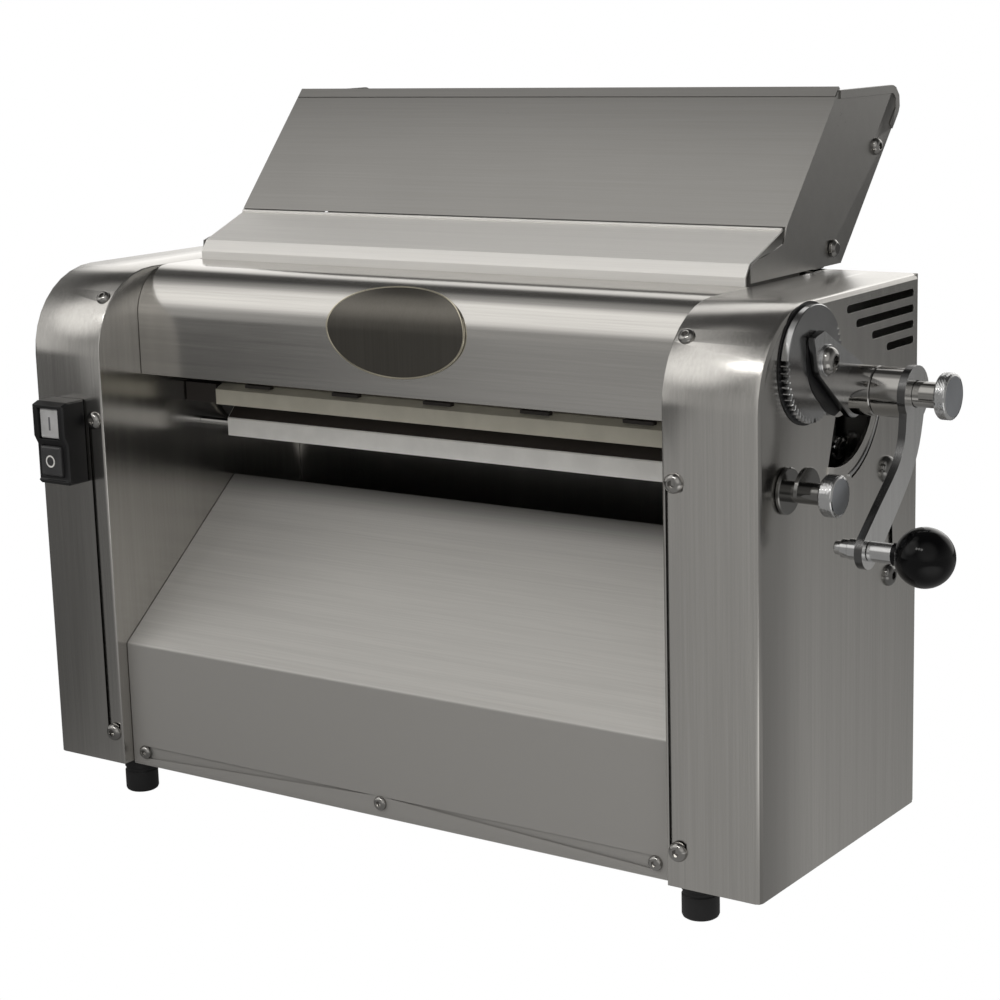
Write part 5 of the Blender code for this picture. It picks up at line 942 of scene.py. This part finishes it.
plate_on("dress_toothed_wheel", "toothed_wheel", WHEEL_SPAN, WHEEL_SPAN[1], WHEEL, WHEEL_BORE,
         WHEEL_LEAST, "wheel")
# Painted shadow: a thin black disc behind the wheel.
fitting("wheel_washer", WHEEL, WHEEL_SHADOW_DISC, "black")
plate_on("dress_link_plate", "link_plate", LINK_SPAN, LINK_SPAN[0], LEVER, LINK_BORE,
         LEVER_LEAST, "plate_bright")
fitting("link_house", LEVER, LINK_HOUSE)
fitting("link_washer", BOLT, BOLT_WASHER, "turned")
screw("link_bolt", BOLT + RIGHT * BOLT_LIFT, RIGHT, *BOLT_SIZE, "housing")
fitting("dress_lever_shaft", LEVER, LEVER_SHAFT, body="lever", ring=False)
plate_on("lever_pinion", "lever_shaft", WHEEL_SPAN, WHEEL_SPAN[1], LEVER, SHAFT_R - SEAT,
         LEVER_LEAST, "turned", TOOTH_CUT)
fitting("dress_lock_housing", LOCK, LOCK_FOOT, "dark_fit")
print("adjuster plates and turned fittings built")

# %% [markdown]
# Flat pieces cut to a curve: the tab at the lower knob's foot, the scale's bead line, and a
# black band behind the link plate, a painted shadow round its rim. A thickened curve would be
# round, so an outline is run along X. Places are millimetres in the machine's side view, angles
# are degrees.

# %% Flat curved pieces
# The black band behind the link plate is a painted shadow round the plate's rim.
LINK_SHADOW_MIDDLE = (76, 309)
LINK_SHADOW_R = 30.0
LINK_SHADOW_FLARE = 7.5
LINK_SHADOW_FLARE_START = 240
LINK_SHADOW_TURN = (150, 276)
LINK_SHADOW_STEPS = 24
LINK_SHADOW_EDGE = ((97, 277), (75, 302), (58, 320))
LINK_SHADOW_SPAN = (5.75, 6.05)


def arc(middle, turn, steps, radius):
    """Points of an arc in the side view; radius says how far off the middle an angle lies."""
    points = []
    for k in range(steps + 1):
        a = turn[0] + (turn[1] - turn[0]) * k / steps
        r = radius(a)
        a = math.radians(a)
        points.append((middle[0] + r * math.cos(a), middle[1] + r * math.sin(a)))
    return points


def flat_piece(name, points, span, look, edge=0.0):
    outline = [(y * MM, z * MM) for y, z in points]
    work = prism(outline, HALF_W + span[0] * MM, HALF_W + span[1] * MM)
    return register(name, work, look, "housing", edge=edge)


def side_ring(name, middle, inner, outer, turn, span, look, steps=30, edge=0.15 * MM):
    """A flat piece of a ring, from one angle to another."""
    points = arc(middle, turn, steps, lambda a: outer)
    points += reversed(arc(middle, turn, steps, lambda a: inner))
    return flat_piece(name, points, span, look, edge=edge)


def link_shadow_radius(angle):
    """The painted shadow band is round at first and flares towards its end."""
    flared = (angle - LINK_SHADOW_FLARE_START) / (LINK_SHADOW_TURN[1] - LINK_SHADOW_FLARE_START)
    return LINK_SHADOW_R + LINK_SHADOW_FLARE * max(0.0, flared)


side_ring("lock_tab", LOCK_AT, 5.9, 14.7, (0, 180), (12.2, 14.7), "dark_fit", 24, 0.3 * MM)
side_ring("scale_bead", LEVER_AT, 54.2, 55.8, (-78, -22), (0.05, 0.8), "turned")
# Painted shadow: the black band behind the link plate.
shadow_outline = arc(LINK_SHADOW_MIDDLE, LINK_SHADOW_TURN, LINK_SHADOW_STEPS, link_shadow_radius) + list(LINK_SHADOW_EDGE)
flat_piece("link_seal", shadow_outline, LINK_SHADOW_SPAN, "black")
dressed("lever_arm", "arm", edge=0.9 * MM, steps=3)
dressed("handle_spindle", "turned", edge=0.3 * MM)
for side in ("left", "right"):
    dressed("hinge_screw_" + side, "polished", edge=0.3 * MM)
    dressed("bracket_" + side, "guard", edge=0.3 * MM)
print("flat pieces, lever and hinge dressed")

# %% [markdown]
# The pull knobs are knurled: two families of helical grooves cross. They could be a bump, but
# the outline would stay smooth, so the turned radius itself dips where they run. The stem is
# turned plain; `tip` gives its inner end as (distance, share of its radius) pairs.

# %% Knurled knobs
KNURL_RIDGES = 34
KNURL_DEPTH = 0.45 * MM
KNURL_PITCH = 1.6 * MM
KNURL_SLACK = 0.6
KNURL_SHARP = math.radians(60)
KNOB_EASE = 0.9 * MM
KNOB_ROWS = 12
FACE_STEP = 0.1 * MM
FACE_THICK = 0.4 * MM
STEM_IN_KNOB = 0.5 * MM
INDEX_KNOB_L = 7.1 * MM
INDEX_STEM_R = 7.45 * MM
LOCK_KNOB_L = 8.6 * MM
LOCK_STEM_R = 4.0 * MM
NECK_SHARE = 0.55
NECK_MARK = 0.8 * MM
LOCK_TIP = ((0.0, 0.7), (1.0 * MM, 1.0))
STEM_SEGMENTS = 32


def knurl(radius, pitch):
    def shape(angle, along, here):
        if here < radius - KNURL_DEPTH * KNURL_SLACK:
            return here
        one = abs(math.sin((angle * KNURL_RIDGES + along * pitch) / 2))
        two = abs(math.sin((angle * KNURL_RIDGES - along * pitch) / 2))
        return here - KNURL_DEPTH * (1 - min(one, two)) ** 2

    return shape


def knob(name, place, start, end, radius, stem, body):
    """A knurled grip from start to end along X, with a plain face."""
    ease = KNOB_EASE
    profile = [(start, stem), (start, radius - ease), (start + ease, radius)]
    for k in range(1, KNOB_ROWS):
        profile.append((start + ease + (end - start - 2 * ease) * k / KNOB_ROWS, radius))
    profile += [(end - ease, radius), (end - FACE_STEP, radius - ease), (end - FACE_STEP, 0.0)]
    shape = knurl(radius, 2 * math.pi / KNURL_PITCH)
    work = revolve(profile, place, segments=KNURL_RIDGES * 4, shape=shape)
    inner = radius - 2 * ease
    face = [(end - FACE_THICK, 0.0), (end - FACE_THICK, inner), (end, inner), (end, 0.0)]
    register(name + "_face", revolve(face, place), "grip_face", body)
    return register(name, work, "turned", body, sharp=KNURL_SHARP)


def knob_with_stem(node, length, stem_radius, tip):
    low, high, place, radius = axis_of(node)
    end = high.x - length + STEM_IN_KNOB
    profile = [(low.x, 0.0)] + [(low.x + along, stem_radius * share) for along, share in tip]
    profile += [(end, stem_radius), (end, 0.0)]
    name = "dress_" + node
    stem = revolve(profile, place, segments=STEM_SEGMENTS)
    register(name, stem, "polished", node)
    knob(name + "_grip", place, high.x - length, high.x, radius, stem_radius, node)


neck_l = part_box("lever_arm")[0].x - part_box("index_knob")[0].x
index_tip = ((0.0, NECK_SHARE), (NECK_MARK, NECK_SHARE), (neck_l, NECK_SHARE), (neck_l, 1.0))
knob_with_stem("index_knob", INDEX_KNOB_L, INDEX_STEM_R, index_tip)
knob_with_stem("lock_knob", LOCK_KNOB_L, LOCK_STEM_R, LOCK_TIP)
print("index knob's thin neck:", round(neck_l / MM, 1), "mm")

# %% [markdown]
# The lever's grip: a turned ball with a short neck, bored for its spindle. A ready-made sphere
# has no bore and no neck, so this too is one turned profile.

# %% Ball grip
BALL_STEPS = 28
BALL_SEGMENTS = 56
BALL_BORE_END = -0.5
BALL_NECK_R = 6.6 * MM
BALL_BORE_R = 4.3 * MM


def make_ball():
    low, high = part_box("ball_knob")
    radius = (high.z - low.z) / 2
    middle = Vector((high.x - radius, (low.y + high.y) / 2, (low.z + high.z) / 2))
    start = -math.sqrt(radius**2 - BALL_NECK_R**2)
    end = low.x - middle.x
    profile = [(radius * BALL_BORE_END, 0.0), (radius * BALL_BORE_END, BALL_BORE_R)]
    profile += [(end, BALL_BORE_R), (end, BALL_NECK_R)]
    for k in range(BALL_STEPS + 1):
        a = math.acos(start / radius) * (1 - k / BALL_STEPS)
        profile.append((radius * math.cos(a), radius * math.sin(a) if k < BALL_STEPS else 0.0))
    work = revolve(profile, middle, segments=BALL_SEGMENTS)
    return register("dress_ball", work, "gloss", "ball", "ball_knob")


ball = make_ball()
print("ball across:", round(ball.dimensions.z / MM, 1), "mm")

# %% [markdown]
# ## Rollers
# The middle of each roller is bright steel, and black sleeves close its ends. The sleeves
# could be a second material on the roller, but a real step at their rim catches the light.

# %% Rollers
ROLLER_HALF = 215 * MM
ROLLER_SHAFT_R = 10 * MM
ROLLER_EASE = 1.0 * MM
ROLLER_SEGMENTS = 72
SLEEVE_L = 40 * MM
SLEEVE_STEP = 0.15 * MM


def make_roller(node):
    low, high, place, radius = axis_of(node)
    x0 = MID_X - ROLLER_HALF
    x1 = MID_X + ROLLER_HALF
    shaft = ROLLER_SHAFT_R
    ease = ROLLER_EASE
    profile = [(low.x, 0.0), (low.x, shaft - ease), (low.x + ease, shaft), (x0, shaft)]
    profile += [(x0, radius - ease), (x0 + ease, radius), (x1 - ease, radius)]
    profile += [(x1, radius - ease), (x1, shaft)]
    profile += [(high.x - ease, shaft), (high.x, shaft - ease), (high.x, 0.0)]
    work = revolve(profile, place, segments=ROLLER_SEGMENTS)
    register("dress_" + node, work, "roller", node)
    wide = radius + SLEEVE_STEP
    for side, start in (("left", x0 + ease), ("right", x1 - ease - SLEEVE_L)):
        end = start + SLEEVE_L
        ring = [(start, radius - ease), (start, wide), (end, wide), (end, radius - ease)]
        work = revolve(ring, place, segments=ROLLER_SEGMENTS)
        register(f"{node}_sleeve_{side}", work, "black", node)


make_roller("upper_roller")
make_roller("lower_roller")
print("rollers dressed, sleeves", round(SLEEVE_L / MM), "mm long")

# %% [markdown]
# ## Scraper bars
# The moulded bars keep their solids, with rounded edges. Brown clips sit on the upper bar, a
# dark brown strip of painted shade on the lower bar's slope, and a brown block fills the upper
# bar's left end. All are small boxes; the strip takes its corners from the slope, so it lies
# flat on it.

# %% Scraper bars
BOX_FACES = ((0, 1, 2, 3), (4, 5, 6, 7), (0, 1, 5, 4), (1, 2, 6, 5), (2, 3, 7, 6), (3, 0, 4, 7))
CLIP_PITCH = 76 * MM
CLIP_HALF = 11 * MM
CLIP_DEPTHS = (1.5 * MM, 6 * MM)
CLIP_HEIGHTS = (-1.0 * MM, 1.3 * MM)
END_GAPS = (1.0 * MM, 0.5 * MM)
END_DEPTHS = (1.2 * MM, 9 * MM)
END_RISE = 0.6 * MM
# Where the strip of painted shade lies on the lower bar's slope.
SHADE_STRIP_SHARES = (0.05, 0.97)
SHADE_STRIP_OFF = (0.05 * MM, 0.7 * MM)
SHADE_STRIP_INSET = 1.0 * MM
SLOPE_NORMAL = Vector((0.0, -0.71, 0.70)).normalized()
SLOPE_FACING = 0.97


def eight_corners(work, spots):
    """A six-sided block from two rows of four corners."""
    corners = [work.verts.new(spot) for spot in spots]
    for face in BOX_FACES:
        work.faces.new([corners[k] for k in face])


def blocks(name, boxes, look="brown", body="housing", edge=0.3 * MM):
    """Small boxes as one piece; each is given by its low and high corner."""
    work = bmesh.new()
    for (x0, y0, z0), (x1, y1, z1) in boxes:
        side = ((y0, z0), (y1, z0), (y1, z1), (y0, z1))
        eight_corners(work, [(x, y, z) for x in (x0, x1) for y, z in side])
    return register(name, work, look, body, edge=edge)


def shade_strip_on_slope(name, node):
    """A thin dark strip of painted shade along the whole of a bar's sloping face."""
    solid = frame["nodes"][node].data
    faces = [f for f in solid.polygons if f.normal.dot(SLOPE_NORMAL) > SLOPE_FACING]
    points = [solid.vertices[k].co for f in faces for k in f.vertices]
    first = min(points, key=lambda p: (round(p.y, 4), p.z))
    last = max(points, key=lambda p: (round(p.y, 4), p.z))
    along = Vector((0.0, last.y - first.y, last.z - first.z))
    out = Vector((0.0, -along.z, along.y)).normalized()
    near, far = SHADE_STRIP_SHARES
    low, high = SHADE_STRIP_OFF
    spots = []
    for x in (min(p.x for p in points) + SHADE_STRIP_INSET, max(p.x for p in points) - SHADE_STRIP_INSET):
        for share, off in ((near, low), (far, low), (far, high), (near, high)):
            spot = Vector((0.0, first.y, first.z)) + along * share + out * off
            spots.append((x, spot.y, spot.z))
    work = bmesh.new()
    eight_corners(work, spots)
    return register(name, work, "brown", "housing")


dressed("upper_scraper", "cream", edge=0.6 * MM)
dressed("lower_scraper", "pale", edge=0.6 * MM)
# Painted shade: a dark brown strip on the lower bar's slope, under the upper bar.
shade_strip_on_slope("lower_blade", "lower_scraper")
bar_low, bar_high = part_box("upper_scraper")
clips = []
for k in (-2, -1, 0, 1, 2):
    x = MID_X + CLIP_PITCH * k
    clips.append((
        (x - CLIP_HALF, bar_low.y + CLIP_DEPTHS[0], bar_high.z + CLIP_HEIGHTS[0]),
        (x + CLIP_HALF, bar_low.y + CLIP_DEPTHS[1], bar_high.z + CLIP_HEIGHTS[1]),
    ))
blocks("upper_clips", clips)
blocks("upper_bar_end", [(
    (left_box[1].x + END_GAPS[0], bar_low.y + END_DEPTHS[0], bar_low.z + END_RISE),
    (bar_low.x - END_GAPS[1], bar_low.y + END_DEPTHS[1], bar_high.z),
)])
print("clips on the upper bar:", len(clips))

# %% [markdown]
# ## Inside
# Frames, gears, rods and motor hardly show. Finer pieces would be wasted there, so their
# solids stay, with a material that suits each.

# %% Recoat the inside
recoat("turned", "upper_scraper_rod", "lower_scraper_rod", "tie_rod_back", "tie_rod_front")
recoat("cast", "block_left", "block_right", "gearbox")
recoat("gear", "lower_gear", "upper_gear", "idler_gear", "drive_pinion", "cam_shaft")
recoat("plate", "left_frame", "right_frame", "base_tray")
recoat("polished", "bearing_left", "bearing_right", "idler_pin")
recoat("motor", "motor")
print("pieces inside recoated")

# %% [markdown]
# ## Feet
# Rubber feet with a groove near the top, turned in one profile: a bevel would round the sole
# evenly, and real soles flatten. The sole's points are (height, step in from the rim) in
# metres, the groove's (share of the height, step in).

# %% Feet
SOLE = ((0.0, 3.2 * MM), (0.3 * MM, 1.6 * MM), (1.0 * MM, 0.6 * MM), (2.4 * MM, 0.0))
GROOVE = ((0.55, 0.0), (0.58, 0.7 * MM), (0.64, 0.7 * MM), (0.67, 0.0))
FOOT_EASE = 0.4 * MM
FOOT_SEGMENTS = 40


def make_foot(node):
    low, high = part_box(node)
    middle = (low + high) / 2
    radius = (high.x - low.x) / 2
    place = Vector((middle.x, middle.y, low.z))
    tall = high.z - low.z
    profile = [(0.0, 0.0)] + [(up, radius - step) for up, step in SOLE]
    profile += [(tall * share, radius - step) for share, step in GROOVE]
    profile += [(tall - FOOT_EASE, radius), (tall, radius - FOOT_EASE), (tall, 0.0)]
    work = revolve(profile, place, (0.0, 0.0, 1.0), FOOT_SEGMENTS)
    return register("dress_" + node, work, "rubber", "housing")


for end in ("front", "back"):
    for side in ("left", "right"):
        make_foot(f"foot_{end}_{side}")
print("feet dressed")

# %% [markdown]
# ## Switch
# The housing and the keys keep their solids with soft edges. Each key gets a plain sign, a bar
# for start and a ring for stop: thin solids, since a text object would bring a font's shapes.

# %% Switch and signs
SIGN_DEPTHS = (-0.12 * MM, 0.3 * MM)
SIGN_HALF = (0.9 * MM, 4.6 * MM)
SIGN_RING = (3.1 * MM, 4.2 * MM)
SIGN_SEGMENTS = 36


def key(node, look, slot):
    """Dresses a key and gives the middle of its face."""
    dressed(node, look, edge=0.7 * MM, steps=3)
    low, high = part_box(node)
    return Vector(((low.x + high.x) / 2, low.y, (low.z + high.z) / 2))


def start_sign(place):
    w, h = SIGN_HALF
    box = (place + Vector((-w, SIGN_DEPTHS[0], -h)), place + Vector((w, SIGN_DEPTHS[1], h)))
    return blocks("start_sign", [box], "ink", "start_button", 0.2 * MM)


def stop_sign(place):
    inner, outer = SIGN_RING
    front, back = SIGN_DEPTHS
    profile = [(back, inner), (back, outer), (front, outer), (front, inner)]
    work = revolve(profile, place, (0.0, 1.0, 0.0), SIGN_SEGMENTS, ring=True)
    return register("stop_sign", work, "pale", "stop_button")


dressed("switch_box", "black", edge=0.8 * MM, steps=3)
dressed("cable_gland", "black", edge=0.4 * MM)
start_sign(key("start_button", "light_key", "light_button"))
stop_sign(key("stop_button", "dark_key", "dark_button"))
print("switch dressed")

# %% [markdown]
# ## Oval plate on the cover
# A bare dark plate with a thin pale rim, bent to the rolled sheet. A modifier could bend it,
# but `on_cover` gives each point its place on the sheet, so the plate fits exactly. Both
# pieces are rows of oval loops, joined by quads.

# %% Oval plate
COVER_Y = 39.5 * MM
COVER_R = 32 * MM
PLATE_MID = (1.5 * MM, 310.0 * MM)
PLATE_HALF = (54.5 * MM, 30.5 * MM)
PLATE_SEGMENTS = 96
RIM = 1.3 * MM
RIM_ROWS = ((0.0, 0.3), (0.0, 1.2), (0.35, 1.7), (0.95, 1.7), (1.3, 1.25))
PLATE_RISE = 1.3 * MM
PLATE_SHARES = (1.0, 0.85, 0.7, 0.55, 0.4, 0.25, 0.1)


def on_cover(x, up, off):
    """A place on the rolled cover: up is counted along the sheet, off stands away from it."""
    start = HEIGHT - COVER_R
    along = PLATE_MID[1] - start + up
    if along <= 0:
        return at(x, COVER_Y - off, start + along)
    a = along / COVER_R
    r = COVER_R + off
    return at(x, COVER_Y + COVER_R - r * math.cos(a), start + r * math.sin(a))


def oval_rows(rows):
    """Oval loops, each given by its two half lengths and its height off the cover."""
    work = bmesh.new()
    loops = []
    for half_x, half_up, off in rows:
        loop = []
        for k in range(PLATE_SEGMENTS):
            a = 2 * math.pi * k / PLATE_SEGMENTS
            spot = on_cover(PLATE_MID[0] + half_x * math.cos(a), half_up * math.sin(a), off)
            loop.append(work.verts.new(spot))
        loops.append(loop)
    for low, high in zip(loops, loops[1:]):
        for k in range(PLATE_SEGMENTS):
            nxt = (k + 1) % PLATE_SEGMENTS
            work.faces.new((low[k], low[nxt], high[nxt], high[k]))
    return work, loops


def make_plate():
    half_x, half_up = PLATE_HALF
    rows = [(half_x - inset * MM, half_up - inset * MM, off * MM) for inset, off in RIM_ROWS]
    rim, _ = oval_rows(rows)
    register("plate_rim", rim, "plate_rim", "housing", "badge")
    rows = [((half_x - RIM) * s, (half_up - RIM) * s, PLATE_RISE) for s in PLATE_SHARES]
    face, loops = oval_rows(rows)
    face.faces.new(loops[-1])
    register("plate_face", face, "plate_face", "housing")


make_plate()
